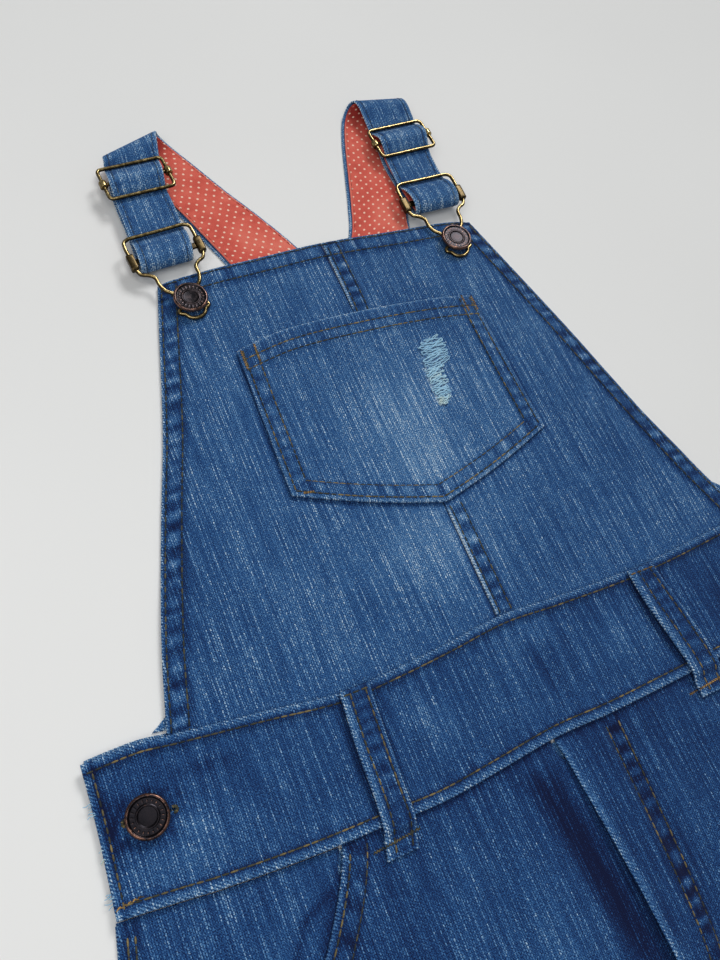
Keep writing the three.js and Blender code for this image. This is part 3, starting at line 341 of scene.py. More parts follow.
def bump(x, middle, width):
    """A bell, 1 at the middle and e^-1 at a width from it."""
    return np.exp(-(((x - middle) / width) ** 2))


def along(rows, key, column, at):
    """The column where the key is `at`: a cubic through the rows, whose slope at each row is the
    slope from the row before it to the row after it."""
    k, v = rows[key], rows[column]
    if k[0] > k[-1]:
        k, v = k[::-1], v[::-1]
    at = np.asarray(at, float)
    ahead = np.append(np.arange(1, len(k)), len(k) - 1)
    behind = np.append(0, np.arange(len(k) - 1))
    slope = (v[ahead] - v[behind]) / (k[ahead] - k[behind])
    i = np.clip(np.searchsorted(k, at, side="right") - 1, 0, len(k) - 2)
    span = k[i + 1] - k[i]
    t = np.clip((at - k[i]) / span, 0, 1)
    t2, t3 = t * t, t * t * t
    from_points = (2 * t3 - 3 * t2 + 1) * v[i] + (3 * t2 - 2 * t3) * v[i + 1]
    return from_points + span * ((t3 - 2 * t2 + t) * slope[i] + (t3 - t2) * slope[i + 1])


def spread(near, count, far):
    """Stations from one edge to the other: fixed distances in from each edge, and `count` even
    steps between them. Each is a share of the way across and a distance added to it."""
    near, far = np.array(near, float), np.array(far, float)[::-1]
    t = np.arange(1, count) / count
    share = np.concatenate([0 * near, t, 1 + 0 * far])
    added = np.concatenate([near, near[-1] * (1 - t) - far[0] * t, -far])
    return share, added


def plan_grid(columns, rows, left, right, foot, head):
    """Plan points on a grid whose columns run from the left to the right outline and whose rows run
    from the foot to the head. Each outline depends on the other axis, so they are met by turns."""
    (u, du), (v, dv) = columns, rows
    x = np.zeros((len(v), len(u)))
    y = foot(x) * (1 - v[:, None]) + head(x) * v[:, None] + dv[:, None]
    for _ in range(4):
        x = left(y) * (1 - u) + right(y) * u + du
        y = foot(x) * (1 - v[:, None]) + head(x) * v[:, None] + dv[:, None]
    return x, y


def least(first, *others):
    """The smallest of several distances at each point."""
    for other in others:
        first = np.minimum(first, other)
    return first


def shell_faces(rows, columns):
    """Quads of a closed wall: an upper grid, a lower grid numbered after it, and the rims between
    them. Seen from above, the columns run to the right and the rows run up."""
    top = np.arange(rows * columns).reshape(rows, columns)
    under = top + rows * columns

    def quads(a, b, c, d):
        return np.stack([a, b, c, d], -1).reshape(-1, 4)

    return np.concatenate([
        quads(top[:-1, :-1], top[:-1, 1:], top[1:, 1:], top[1:, :-1]),
        quads(under[:-1, :-1], under[1:, :-1], under[1:, 1:], under[:-1, 1:]),
        quads(under[1:, 0], under[:-1, 0], top[:-1, 0], top[1:, 0]),
        quads(under[:-1, -1], under[1:, -1], top[1:, -1], top[:-1, -1]),
        quads(under[0, :-1], under[0, 1:], top[0, 1:], top[0, :-1]),
        quads(under[-1, 1:], under[-1, :-1], top[-1, :-1], top[-1, 1:]),
    ])


def add_object(name, data):
    made = bpy.data.objects.new(name, data)
    bpy.context.scene.collection.objects.link(made)
    return made


def make_piece(name, points, faces, material, uv=None, values=None):
    """A smooth-shaded mesh from points in plan millimetres and quads. `uv` is a pair of millimetres
    for each point, and `values` holds named numbers, one for each point."""
    mesh = bpy.data.meshes.new(name)
    mesh.vertices.add(len(points))
    mesh.vertices.foreach_set("co", ((points + SHIFT) * MM).astype(np.float32).ravel())
    mesh.loops.add(faces.size)
    mesh.loops.foreach_set("vertex_index", faces.astype(np.int32).ravel())
    mesh.polygons.add(len(faces))
    mesh.polygons.foreach_set("loop_start", np.arange(0, faces.size, 4, dtype=np.int32))
    mesh.update(calc_edges=True)
    if uv is not None:
        layer = mesh.uv_layers.new(name="cloth")
        layer.uv.foreach_set("vector", (uv[faces.ravel()] * MM).astype(np.float32).ravel())
    for key, value in (values or {}).items():
        attribute = mesh.attributes.new(key, "FLOAT", "POINT")
        attribute.data.foreach_set("value", np.asarray(value, np.float32).ravel())
    mesh.shade_smooth()
    mesh.materials.append(material)
    piece = add_object(name, mesh)
    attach(piece, "root")
    return piece


def rounded(distance, reach=EDGE_ROUND):
    """The share of a wall's thickness at a distance in from its edge: a quarter circle."""
    t = np.clip(distance / reach, 0, 1)
    return EDGE_SHARE + (1 - EDGE_SHARE) * np.sqrt(1 - (1 - t) ** 2)


def lay_panel(node, x, y, lower, face, edge, material):
    """A cloth panel between its lower height and its face. The face is a height, the wear of the
    dye with painted light and shade, and the share of roping at each plan point, and the wall thins
    in a curve to its edge."""
    upper, wear_and_shade, rope = face
    middle, half = (upper + lower) / 2, (upper - lower) / 2 * rounded(edge)
    points = np.concatenate([
        np.stack([x, y, middle + half], -1).reshape(-1, 3),
        np.stack([x, y, middle - half], -1).reshape(-1, 3),
    ])
    uv = np.tile(np.stack([x, y], -1).reshape(-1, 2), (2, 1))
    values = {"wear_and_shade": np.tile(wear_and_shade.ravel(), 2), "rope": np.tile(rope.ravel(), 2)}
    piece = make_piece(node + "_cloth", points, shell_faces(*x.shape), material, uv, values)
    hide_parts(node)
    return piece


# Outlines as functions


def outline(rows, key, column):
    """A column of a table as a function of its key."""
    return lambda at: along(rows, key, column, at)


bib_top = outline(BIB_TOP, "x", "y")
bib_left, bib_right = outline(BIB_SIDE, "y", "left"), outline(BIB_SIDE, "y", "right")
seam_x = outline(BIB_SEAM, "y", "x")
band_top, band_foot = outline(BAND, "x", "top"), outline(BAND, "x", "foot")
band_end = outline(BAND_END, "y", "x")
pocket_mouth = outline(POCKET_TOP, "x", "y")
pocket_left, pocket_right = outline(POCKET_SIDE, "y", "left"), outline(POCKET_SIDE, "y", "right")
side_seam = outline(SIDE_SEAM, "y", "x")
fly_edge = outline(FLY_EDGE, "y", "x")


def opening_x(y):
    return np.where(y < OPENING_FOOT, side_seam(y), along(POCKET_OPENING, "y", "x", y))


def hem_foot(x):
    return HEM_INNER + (HEM_OUTER - HEM_INNER) * ramp(0, SIDE_SEAM["x"][-1], np.abs(x))


def inseam_x(y):
    t = np.clip((CROTCH - np.asarray(y, float)) / (CROTCH - HEM_INNER), 0, 1)
    return GAP + (INSEAM_HEM_X - GAP) * t**INSEAM_BEND


def pocket_foot(x):
    """A shallow point: straight down to the middle from each side, with a little sag."""
    f = POCKET_FOOT
    t = np.abs(x) / f["half_width"]
    corner = np.where(np.asarray(x) < 0, f["left"], f["right"])
    return f["middle"] + (corner - f["middle"]) * t - f["sag"] * np.sin(np.pi * np.minimum(1, t))


# Relief, wear and painted shade of sewn cloth

HEM_STOPS = [0, 0.2, 0.5, 0.9, 1.4, 2, 2.6, 3.4, 4.4, 5.6, 6.8, 7.8, 8.6, 9.3, 9.9, 10.6, 11.6]
SEAM_STOPS = [0, 0.2, 0.5, 0.9, 1.4, 2, 2.6, 3.4, 4.4, 5.6, 6.6, 7.4, 8, 8.6, 9.2, 9.8, 10.6]
PLAIN_STOPS = [0, 0.2, 0.5, 0.9, 1.6]
END_STOPS = [0, 0.3, 0.8, 1.6, 3]
GROOVE = {"depth": 0.28, "width": 0.7, "shade": 0.6, "shade_width": 1.1}
PUCKER = {"pitch": 8.6, "height": 0.3, "shade": 0.75}


def turned(width, distance):
    """What an edge turned under over some width adds at a distance in from its fold."""
    return HEM_RISE * (1 - ramp(width, width + HEM_STEP, distance))


def pucker(s, seed):
    """An uneven wave along a seam: a sine whose pitch and size wander, and a finer one."""
    phase = 2 * np.pi * s / PUCKER["pitch"] + 1.9 * np.sin(s / 9.1 + seed) + 1.3 * np.sin(s / 23 + 3 * seed)
    size = 0.72 + 0.28 * np.sin(s / 11.7 + 2.2 * seed)
    return np.sin(phase) * size + 0.28 * np.sin(s / 0.83 + 1.7 * np.sin(s / 4.1 + seed))


def sewn(distance, s, rows, seed, fullness=1.0):
    """What two rows of stitching add to a cloth's height and to its wear and painted shade: a groove
    along each row, painted dark as shade, and puckers between the rows, which are pale on top and dark
    below, partly rubbed dye and partly painted light and shade. `s` runs along the seam."""
    middle, reach = (rows[0] + rows[1]) / 2, (rows[1] - rows[0]) / 2
    between = np.exp(-(((distance - middle) / (0.95 * reach)) ** 4)) * fullness
    wave = pucker(s, seed)
    height = PUCKER["height"] * wave * between
    wear_and_shade = PUCKER["shade"] * (wave - 0.35) * between
    for row in rows:
        height = height - GROOVE["depth"] * bump(distance, row, GROOVE["width"])
        wear_and_shade = wear_and_shade - GROOVE["shade"] * bump(distance, row, GROOVE["shade_width"])
    return height, wear_and_shade


def fading(distance, width):
    """1 up to a line, and past it a bell that falls with the distance."""
    return np.exp(-((np.clip(distance, 0, None) / width) ** 2))


def folded_edge(distance, s, seed, width=1.1):
    """Wear and roping along a folded edge: the dye is rubbed off the fold, unevenly."""
    near = fading(distance, width)
    return near * (1.0 + 0.3 * pucker(s * 1.7, seed)), near


def folds(rows, x, y):
    """Heights of soft folds: each is a bell across its line, and fades in and out along it."""
    height = np.zeros(np.broadcast(x, y).shape)
    for x0, y0, x1, y1, rise, width in zip(*rows.values()):
        dx, dy = x1 - x0, y1 - y0
        t = ((x - x0) * dx + (y - y0) * dy) / (dx * dx + dy * dy)
        away = ((x - x0) * dy - (y - y0) * dx) / math.hypot(dx, dy)
        rises = ramp(FOLD_TAPER["from"], FOLD_TAPER["full"], t)
        sinks = 1 - ramp(FOLD_TAPER["fall"], FOLD_TAPER["end"], t)
        height = height + rise * rises * sinks * bump(away, 0, width)
    return height


def from_path(path, x, y):
    """Distance to the nearest point of a line made of straight pieces."""
    best = np.full(np.broadcast(x, y).shape, np.inf)
    for (x0, y0), (x1, y1) in zip(path[:-1], path[1:]):
        dx, dy = x1 - x0, y1 - y0
        t = np.clip(((x - x0) * dx + (y - y0) * dy) / (dx * dx + dy * dy), 0, 1)
        best = np.minimum(best, np.hypot(x - x0 - t * dx, y - y0 - t * dy))
    return best


def opening_path(sign, inset=0.0):
    """The hip opening's edge from its top to its foot, moved into the leg by the inset."""
    y = np.linspace(POCKET_OPENING["y"][0], OPENING_FOOT, 70)
    path = np.column_stack([along(POCKET_OPENING, "y", "x", y), y])
    run = np.gradient(path, axis=0)
    run /= np.linalg.norm(run, axis=1, keepdims=True)
    path = path + inset * np.column_stack([run[:, 1], -run[:, 0]])
    return path * [sign, 1]


def fades(rows, x, y):
    """Wear from washing: a sum of soft oval patches."""
    total = np.zeros(np.broadcast(x, y).shape)
    for x0, y0, across, up, amount in zip(*rows.values()):
        total = total + amount * np.exp(-(((x - x0) / across) ** 2) - ((y - y0) / up) ** 2)
    return total


def ripple(x, y, seed):
    """A slight unevenness over the whole cloth: three long sines that cross."""
    return (
        np.sin(x / 19 + 0.4 * np.sin(y / 31 + seed))
        + np.sin(y / 23 + 0.7 * np.sin(x / 27 + 2 * seed))
        + np.sin((x + y) / 37 + seed)
    ) / 3


BIB_FADES = table(
    "x y across up amount",
    (-4, 42, 40, 24, 0.6), (-70, 150, 60, 80, 0.1), (-120, 40, 30, 50, -0.1),
    (60, 196, 50, 30, 0.15), (24, 30, 40, 24, -0.22), (-40, 196, 50, 26, 0.12), (92, 55, 30, 30, -0.1),
)
POCKET_FADES = table(
    "x y across up amount",
    (8, 112, 20, 40, 0.5), (-14, 98, 32, 34, 0.34), (-50, 120, 24, 40, 0.05), (4, 72, 30, 14, 0.3),
    (47, 110, 18, 30, 0.3),
)
BAND_FADES = table(
    "x y across up amount",
    (8, -12, 14, 9, 0.4), (-166, -42, 30, 12, 0.45), (-120, -24, 26, 22, 0.15),
    (-20, -30, 40, 26, 0.15), (40, -34, 26, 20, 0.12), (-100, -50, 16, 10, 0.12),
    (-183.5, -26, 3.6, 8, -0.9), (-128, -28, 30, 24, 0.12),
)
LEG_FADES = table(
    "x y across up amount",
    (-60, -150, 40, 80, 0.45), (-140, -220, 50, 90, 0.2), (70, -160, 34, 90, 0.35),
    (140, -220, 50, 90, 0.2), (-150, -72, 34, 12, 0.5),
)
TONE = {"bib": 0.0, "pocket": 0.04, "band": -0.42, "leg": -0.66, "loop": -0.25, "back": 0.2, "strap": 0.2}


# Bib


def bib_lower(x, y):
    """Height of the bib's lower face, which rises towards its top and droops at its sides there."""
    lift, droop = STRAP_LIFT, BIB_DROOP
    sideways = 1 - ramp(lift["flat"], lift["reach"], np.abs(x - lift["middle"]))
    edge = np.minimum(x - bib_left(y), bib_right(y) - x)
    sink = (1 - ramp(0, droop["width"], edge)) * ramp(droop["from"], droop["full"], y)
    rise = lift["height"] * ramp(lift["from"], lift["full"], y) * sideways
    return FRONT_REST + rise - droop["height"] * sink


def bib_face(x, y, side):
    """Height, wear with painted light and shade, and roping of the bib's outer face."""
    to_left, to_right, to_top = x - bib_left(y), bib_right(y) - x, bib_top(x) - y
    to_seam = x - seam_x(y)
    edge = least(to_left, to_right, to_top)
    flat = SEAM_FLAT
    shown = 1 - ramp(flat["from"], flat["foot"], y) * (1 - ramp(flat["head"], flat["to"], y))
    over = shown * (0 if side == "left" else 1)
    clear = ramp(band_top(x) + BAND_CLEAR["near"], band_top(x) + BAND_CLEAR["far"], y)
    raised = np.maximum(turned(HEM_WIDTH, edge), over * turned(SEAM_WIDTH, to_seam))
    height = bib_lower(x, y) + CLOTH + raised * clear
    height = height + folds(BIB_CREASES, x, y) * ramp(*BIB_CALM, edge) + 0.12 * ripple(x, y, 1)
    # The creases also make the colour paler on their ridges and darker in their troughs: painted light and
    # shade.
    wear_and_shade = TONE["bib"] + fades(BIB_FADES, x, y) + 0.5 * folds(BIB_CREASES, x, y)
    rope = np.zeros_like(x)
    for distance, s, rows, seed, fullness in (
        (to_left, y, BIB_SIDE_ROWS, 0.4, 1.0), (to_right, y, BIB_SIDE_ROWS, 1.9, 1.0),
        (to_top, x, BIB_TOP_ROWS, 3.3, 0.45),
    ):
        rise, shade = sewn(distance, s, rows, seed, fullness)
        pale, near = folded_edge(distance, s, seed)
        height = height + rise * clear
        wear_and_shade = wear_and_shade + (shade + 0.75 * pale) * clear
        rope = np.maximum(rope, near)
    if side == "right":
        rise, shade = sewn(to_seam, y, SEAM_ROWS, 5.1)
        pale, near = folded_edge(to_seam, y, 5.1, 1.4)
        height = height + rise * clear * shown
        wear_and_shade = wear_and_shade + (shade + 1.2 * pale) * clear * shown
        rope = np.maximum(rope, near * shown)
    else:
        # Painted shadow along the seam, under the right panel's overlapping edge.
        wear_and_shade = wear_and_shade - 0.8 * bump(to_seam, 0, 1.6) * shown
    # Painted shade just inside the hem's step; under_pocket adds unfaded dye with painted shade round the
    # pocket.
    wear_and_shade = wear_and_shade - 0.35 * bump(edge, HEM_WIDTH + 1.6, 1.2) - under_pocket(x, y)
    return height, wear_and_shade, rope


def under_pocket(x, y):
    """Unfaded dye and shade along the pocket's sides and foot, where it lies on the bib."""
    beside = np.maximum(pocket_left(y) - x, x - pocket_right(y))
    below = pocket_foot(x) - y
    away = np.where(y < POCKET_FOOT["right"] + 2, np.maximum(below, beside), beside)
    inside = ramp(0, -3, y - pocket_mouth(x)) * (y > 50)
    return 0.6 * fading(away, 1.8) * inside


def bib_panel(side, material):
    if side == "left":
        columns, left, right = spread(HEM_STOPS, 86, PLAIN_STOPS), bib_left, lambda y: seam_x(y) - GAP
    else:
        columns, left, right = spread(SEAM_STOPS, 80, HEM_STOPS), seam_x, bib_right
    rows = spread([0, 2, 3.6, 4.2, 4.8, 5.6, 6.6], 132, HEM_STOPS)
    x, y = plan_grid(columns, rows, left, right, lambda x: band_top(x) - TUCK, bib_top)
    edge = least(x - left(y), right(y) - x, bib_top(x) - y)
    lower = bib_lower(x, y) + folds(BIB_CREASES, x, y) * ramp(*BIB_CALM, edge)
    lay_panel(f"bib_{side}", x, y, lower, bib_face(x, y, side), edge, material)


# Patch pocket


def pocket_lower(x, y):
    """Height of the pocket's lower face, which gapes a little towards the mouth."""
    g = POCKET_GAPE
    across = np.sqrt(1 - np.minimum(1, np.abs(x) / g["half_width"]) ** 2)
    return bib_lower(x, y) + CLOTH + GAP + g["height"] * across * ramp(g["from"], g["full"], y)


DISTRESS = table(
    "y middle half",
    (107.5, 22.6, 2.6), (110, 22.8, 3.4), (114, 25, 4.7), (121, 25.2, 4.9), (127.5, 26, 5), (131, 29.4, 6.6),
    (138, 30.2, 6.8), (142, 31, 5.8), (145.5, 31, 3.4),
)
DISTRESS_FOOT, DISTRESS_HEAD = DISTRESS["y"][[0, -1]]


def distress_at(y):
    """Middle and half width of the worn patch at a height up the pocket."""
    return along(DISTRESS, "y", "middle", y), along(DISTRESS, "y", "half", y)


def pocket_face(x, y):
    """Height, wear with painted light and shade, and roping of the pocket's outer face."""
    to_left, to_right = x - pocket_left(y), pocket_right(y) - x
    to_foot, to_mouth = y - pocket_foot(x), pocket_mouth(x) - y
    edge = least(to_left, to_right, to_foot)
    height = pocket_lower(x, y) + CLOTH
    height = height + np.maximum(turned(POCKET_EDGE_HEM, edge), turned(POCKET_MOUTH_HEM, to_mouth))
    height = height + 0.12 * ripple(x, y, 1)
    wear_and_shade = TONE["pocket"] + fades(POCKET_FADES, x, y)
    rope = np.zeros_like(x)
    low = ramp(14, 10, to_mouth)
    for distance, s, seed in ((to_left, y, 0.9), (to_right, y, 2.6), (to_foot * FOOT_SLANT, x, 4.2)):
        rise, shade = sewn(distance, s, POCKET_EDGE_ROWS, seed)
        pale, near = folded_edge(distance, s, seed)
        mine = ramp(1.5, -1.5, distance - edge)
        height = height + rise * mine * (1 - 0.7 * low)
        wear_and_shade = wear_and_shade + (shade * (1 - 0.7 * low) + 0.9 * pale) * mine
        rope = np.maximum(rope, near * mine)
    rise, shade = sewn(to_mouth, x, POCKET_MOUTH_ROWS, 6.3, 0.45)
    pale, near = folded_edge(to_mouth, x, 6.3, 0.8)
    height = height + rise
    # The last term is painted shade just under the top of the mouth's hem.
    wear_and_shade = wear_and_shade + 0.5 * shade + 1.2 * pale - 0.15 * bump(to_mouth, 3.4, 3.4)
    middle, half = distress_at(y)
    inside = ramp(half + 1, half - 0.6, np.abs(x - middle))
    inside = inside * ramp(DISTRESS_FOOT - 1, DISTRESS_FOOT + 1, y)
    inside = inside * ramp(DISTRESS_HEAD + 1, DISTRESS_HEAD - 1, y)
    return height - 0.5 * inside, wear_and_shade + 0.7 * inside, np.maximum(rope, near)


def pocket_panel(material):
    edge_stops = [0, 0.2, 0.5, 0.9, 1.4, 2, 2.5, 3.1, 4, 5.2, 6.4, 7.4, 8.1, 8.7, 9.3, 10]
    mouth_stops = [0, 0.2, 0.5, 1, 2, 3.4, 4.8, 5.8, 6.5, 7.2, 8.4, 9.8, 11.2, 12, 12.8, 13.6, 14.6]
    columns, rows = spread(edge_stops, 92, edge_stops), spread(edge_stops, 62, mouth_stops)
    x, y = plan_grid(columns, rows, pocket_left, pocket_right, pocket_foot, pocket_mouth)
    sides, ends = (x - pocket_left(y), pocket_right(y) - x), (y - pocket_foot(x), pocket_mouth(x) - y)
    edge, rests_on = least(*sides, *ends), ["bib_left_cloth", "bib_right_cloth"]
    lay_panel("bib_pocket", x, y, pocket_lower(x, y), pocket_face(x, y), edge, material)


# Waistband, belt loops and back pieces


def band_lower(x, y):
    """Height of the waistband's lower face, lifted along its top and foot by what is tucked in."""
    edge = np.minimum(band_top(x) - y, y - band_foot(x))
    return FRONT_REST + BAND_LIFT * (1 - ramp(TUCK + GAP, TUCK + BAND_SLOPE, edge))


def band_face(x, y):
    """Height, wear with painted light and shade, and roping of the waistband: it rolls over at its top and
    foot.
    """
    to_top, to_foot, to_end = band_top(x) - y, y - band_foot(x), band_end(y) - np.abs(x)
    height = band_lower(x, y) + FRONT_BAND + folds(BAND_CREASES, x, y) + 0.1 * ripple(x, y, 4)
    # The creases make the colour paler on their ridges and darker in their troughs: painted light and shade.
    wear_and_shade = TONE["band"] + fades(BAND_FADES, x, y) + 1.3 * folds(BAND_CREASES, x, y)
    rope = np.zeros_like(x)
    for distance, s, row, seed in (
        (to_top, x, BAND_ROWS["top"], 0.7), (to_foot, x, BAND_ROWS["foot"], 2.1),
        (to_end, y, BAND_ROWS["end"], 4.4),
    ):
        wave = pucker(s, seed)
        height = height - 0.35 * bump(distance, row, 0.7) + 0.1 * wave * bump(distance, row + 2.6, 2)
        height = height + 0.12 * wave * bump(distance, row - 2, 1.4)
        pale, near = folded_edge(distance, s, seed, row - 1.6)
        # Darker along each row: painted shade in its groove over unfaded dye. Puckers beside it are pale on
        # their crests and dark between them, partly rubbed dye and partly painted light and shade.
        wear_and_shade = wear_and_shade + 0.75 * pale - 0.8 * bump(distance, row, 1.1)
        wear_and_shade = wear_and_shade + 0.22 * wave * bump(distance, row + 3, 2.6)
        rope = np.maximum(rope, near)
    # Painted shade in a ring just outside each waist button's rim, uneven along it.
    around = np.hypot((np.abs(x) - WAIST_BUTTON["x"]) / 1.35, y - WAIST_BUTTON["y"])
    stain_and_shade = bump(around, 9, 2.8)
    wear_and_shade = wear_and_shade - stain_and_shade * (0.4 + 0.3 * np.sin(x / 1.3 + 2 * np.sin(y / 1.7)))
    # Painted shadow beside each belt loop, on the band.
    for loop in BELT_LOOPS.values():
        beside = -least(*loop_sides(loop, x, y))
        wear_and_shade = wear_and_shade - 0.5 * fading(beside, 1.6)
    return height, wear_and_shade, rope


def band_panel(material):
    edge_stops = [0, 0.2, 0.5, 0.9, 1.4, 2, 2.7, 3.4, 4, 4.5, 5.1, 5.8, 6.6, 7.6, 8.8]
    columns, rows = spread(edge_stops[:9], 270, edge_stops[:9]), spread(edge_stops, 27, edge_stops)
    x, y = plan_grid(columns, rows, lambda y: -band_end(y), band_end, band_foot, band_top)
    edge = least(band_top(x) - y, y - band_foot(x), band_end(y) - np.abs(x))
    lower = band_lower(x, y) + folds(BAND_CREASES, x, y)
    return lay_panel("waistband_front", x, y, lower, band_face(x, y), edge, material)


def loop_lower(loop, y):
    """Height of a belt loop's lower face: an arch over the waistband, and a step down to the leg."""
    form = LOOP_FORM
    edge = band_foot((loop["left"][0] + loop["right"][0]) / 2)
    bridge, landed = FRONT_REST + BAND_LIFT + FRONT_BAND + GAP, FRONT_REST + CLOTH + GAP
    climbed = ramp(edge - form["landing"], edge - form["step"], y)
    return landed + (bridge - landed) * climbed + form["arch"] * np.sin(np.pi * ramp(edge, loop["y"][0], y))


def loop_sides(loop, x, y):
    """Distances in from a belt loop's two sides."""
    return x - along(loop, "y", "left", y), along(loop, "y", "right", y) - x


def loop_face(x, y, side):
    """Height, wear with painted light and shade, and roping of a belt loop's outer face."""
    loop = BELT_LOOPS[side]
    to_left, to_right = loop_sides(loop, x, y)
    to_foot = y - loop["y"][-1]
    width = to_left + to_right
    height = loop_lower(loop, y) + LOOP_CLOTH
    wear_and_shade = TONE["loop"] + 0 * x
    rope = np.zeros_like(x)
    rows = LOOP_ROWS[side]
    for distance, row, seed in ((to_left, rows[0], 0.3), (to_right, rows[1], 1.4)):
        height = height - 0.3 * bump(distance, row, 0.6)
        pale, near = folded_edge(distance, y, seed, 0.45 * row)
        # Darker along each row: painted shade in its groove.
        wear_and_shade = wear_and_shade + 0.8 * pale - 0.6 * bump(distance, row, 1.0)
        rope = np.maximum(rope, near)
    wave = pucker(1.3 * y, 2.5 if side == "left" else 3.7)
    middle = bump(to_left, (rows[0] + width - rows[1]) / 2, 0.22 * width)
    pale, near = folded_edge(to_foot, x, 4, 1.3)
    # Puckers down the middle, pale and dark in turn (partly rubbed dye, partly painted light and shade), and
    # the middle a little darker overall.
    wear_and_shade = wear_and_shade + 0.5 * wave * middle - 0.3 * middle + 0.7 * pale
    return height + 0.22 * wave * middle, wear_and_shade, np.maximum(rope, near)


def loop_panel(side, material):
    loop = BELT_LOOPS[side]
    stops_in = [0, 0.2, 0.5, 0.9, 1.4, 2, 2.6, 3.2, 3.9]
    foot, head = loop["y"][-1], loop["y"][0]
    columns, rows = spread(stops_in, 9, stops_in), spread(stops_in, 56, stops_in)
    x, y = plan_grid(
        columns, rows, outline(loop, "y", "left"), outline(loop, "y", "right"),
        lambda x: foot + 0 * x, lambda x: head + 0 * x,
    )
    edge = least(*loop_sides(loop, x, y), y - foot, head - y)
    lower, face = loop_lower(loop, y), loop_face(x, y, side)
    lay_panel(f"belt_loop_{side}", x, y, lower, face, edge, material)


def back_piece(node, columns, rows, left, right, foot, head, thickness, material, hem=None):
    """A back piece, which lies flat on the table, so only its upper face and edges are shaped."""
    x, y = plan_grid(columns, rows, left, right, foot, head)
    edge = least(x - left(y), right(y) - x, y - foot(x), head(x) - y)
    wave = pucker(x + y, 0.6)
    height = thickness + 0 * x
    pale, near = folded_edge(edge, x + y, 1.1)
    # Puckers near the edge, pale and dark in turn: partly rubbed dye, partly painted light and shade.
    wear_and_shade = TONE["back"] + 0.7 * pale + 0.25 * wave * bump(edge, 5, 3)
    if hem is not None:
        height = height + turned(hem, y - foot(x))
    lay_panel(node, x, y, 0 * x, (height, wear_and_shade, near), edge, material)


def by_side(sign, inner, outer):
    """The left and right outlines of a leg's piece, from its inner and outer ones."""
    return (outer, inner) if sign < 0 else (inner, outer)


def back_pieces(material):
    def even(count):
        return spread(END_STOPS, count, END_STOPS)

    back_piece(
        "bib_back", even(70), even(56),
        outline(BACK_BIB_SIDE, "y", "left"), outline(BACK_BIB_SIDE, "y", "right"),
        lambda x: band_top(x) + PEEK + BACK_SEAM, lambda x: BACK_BIB_TOP + 0 * x, CLOTH, material,
    )
    back_piece(
        "waistband_back", even(120), even(18),
        lambda y: BACK_BAND_INSET - band_end(y), lambda y: band_end(y) - BACK_BAND_INSET,
        band_foot, lambda x: band_top(x) + PEEK, BACK_BAND, material,
    )
    for side, sign in SIDES.items():
        def inner(y):
            return sign * np.where(y < CROTCH, inseam_x(y), GAP / 2)

        left, right = by_side(sign, inner, lambda y: sign * side_seam(y))
        back_piece(
            f"leg_back_{side}", even(60), even(76), left, right,
            hem_foot, lambda x: band_foot(x) - BACK_SEAM, CLOTH, material, LEG_HEM,
        )


# Legs


def fly_height(x, y):
    """What the right leg gains at the fly: the lap over the left leg, and the ridge at its edge."""
    beside = x - fly_edge(y)
    lap = FLY_LAP
    length = ramp(lap["foot"], lap["full"], y) * (1 - ramp(lap["low"], lap["top"], y))
    over = BAND_LIFT * length * (1 - ramp(FLY_WIDTH, FLY_WIDTH + FLY_SEAM_STEP, beside))
    ridge = along(FLY_RIDGE, "y", "height", y) * np.exp(-np.clip(beside, 0, None) / RIDGE_REACH)
    return over + ridge


def leg_lower(x, y, sign):
    """Height of a front leg's lower face: over the hem, the facing and the fly, with soft folds."""
    room = FACING_ROOM
    over_hem = HEM_RISE * (1 - ramp(HEM_ROOM["low"], HEM_ROOM["high"], y))
    beside = 1 - ramp(room["near"], room["far"], opening_x(y) - np.abs(x))
    over_facing = FACING_LIFT * beside * ramp(room["foot"], room["full"], y)
    over_facing = over_facing * (1 - ramp(room["low"], room["top"], y))
    to_fly = np.abs(x - fly_edge(y))
    calm = ramp(*FLY_CALM[sign], to_fly)
    soft = folds(LEG_FOLDS, x, y) * calm * (1 - ramp(FOLDS_END["low"], FOLDS_END["top"], y))
    return FRONT_REST + over_hem + over_facing + soft + (fly_height(x, y) if sign > 0 else 0)


def leg_creases(x, y):
    """Small creases, kept clear of the waistband and the hem."""
    ends = CREASES_END
    kept = (1 - ramp(ends["low"], ends["top"], y)) * ramp(ends["foot"], ends["full"], y)
    return folds(LEG_CREASES, x, y) * kept


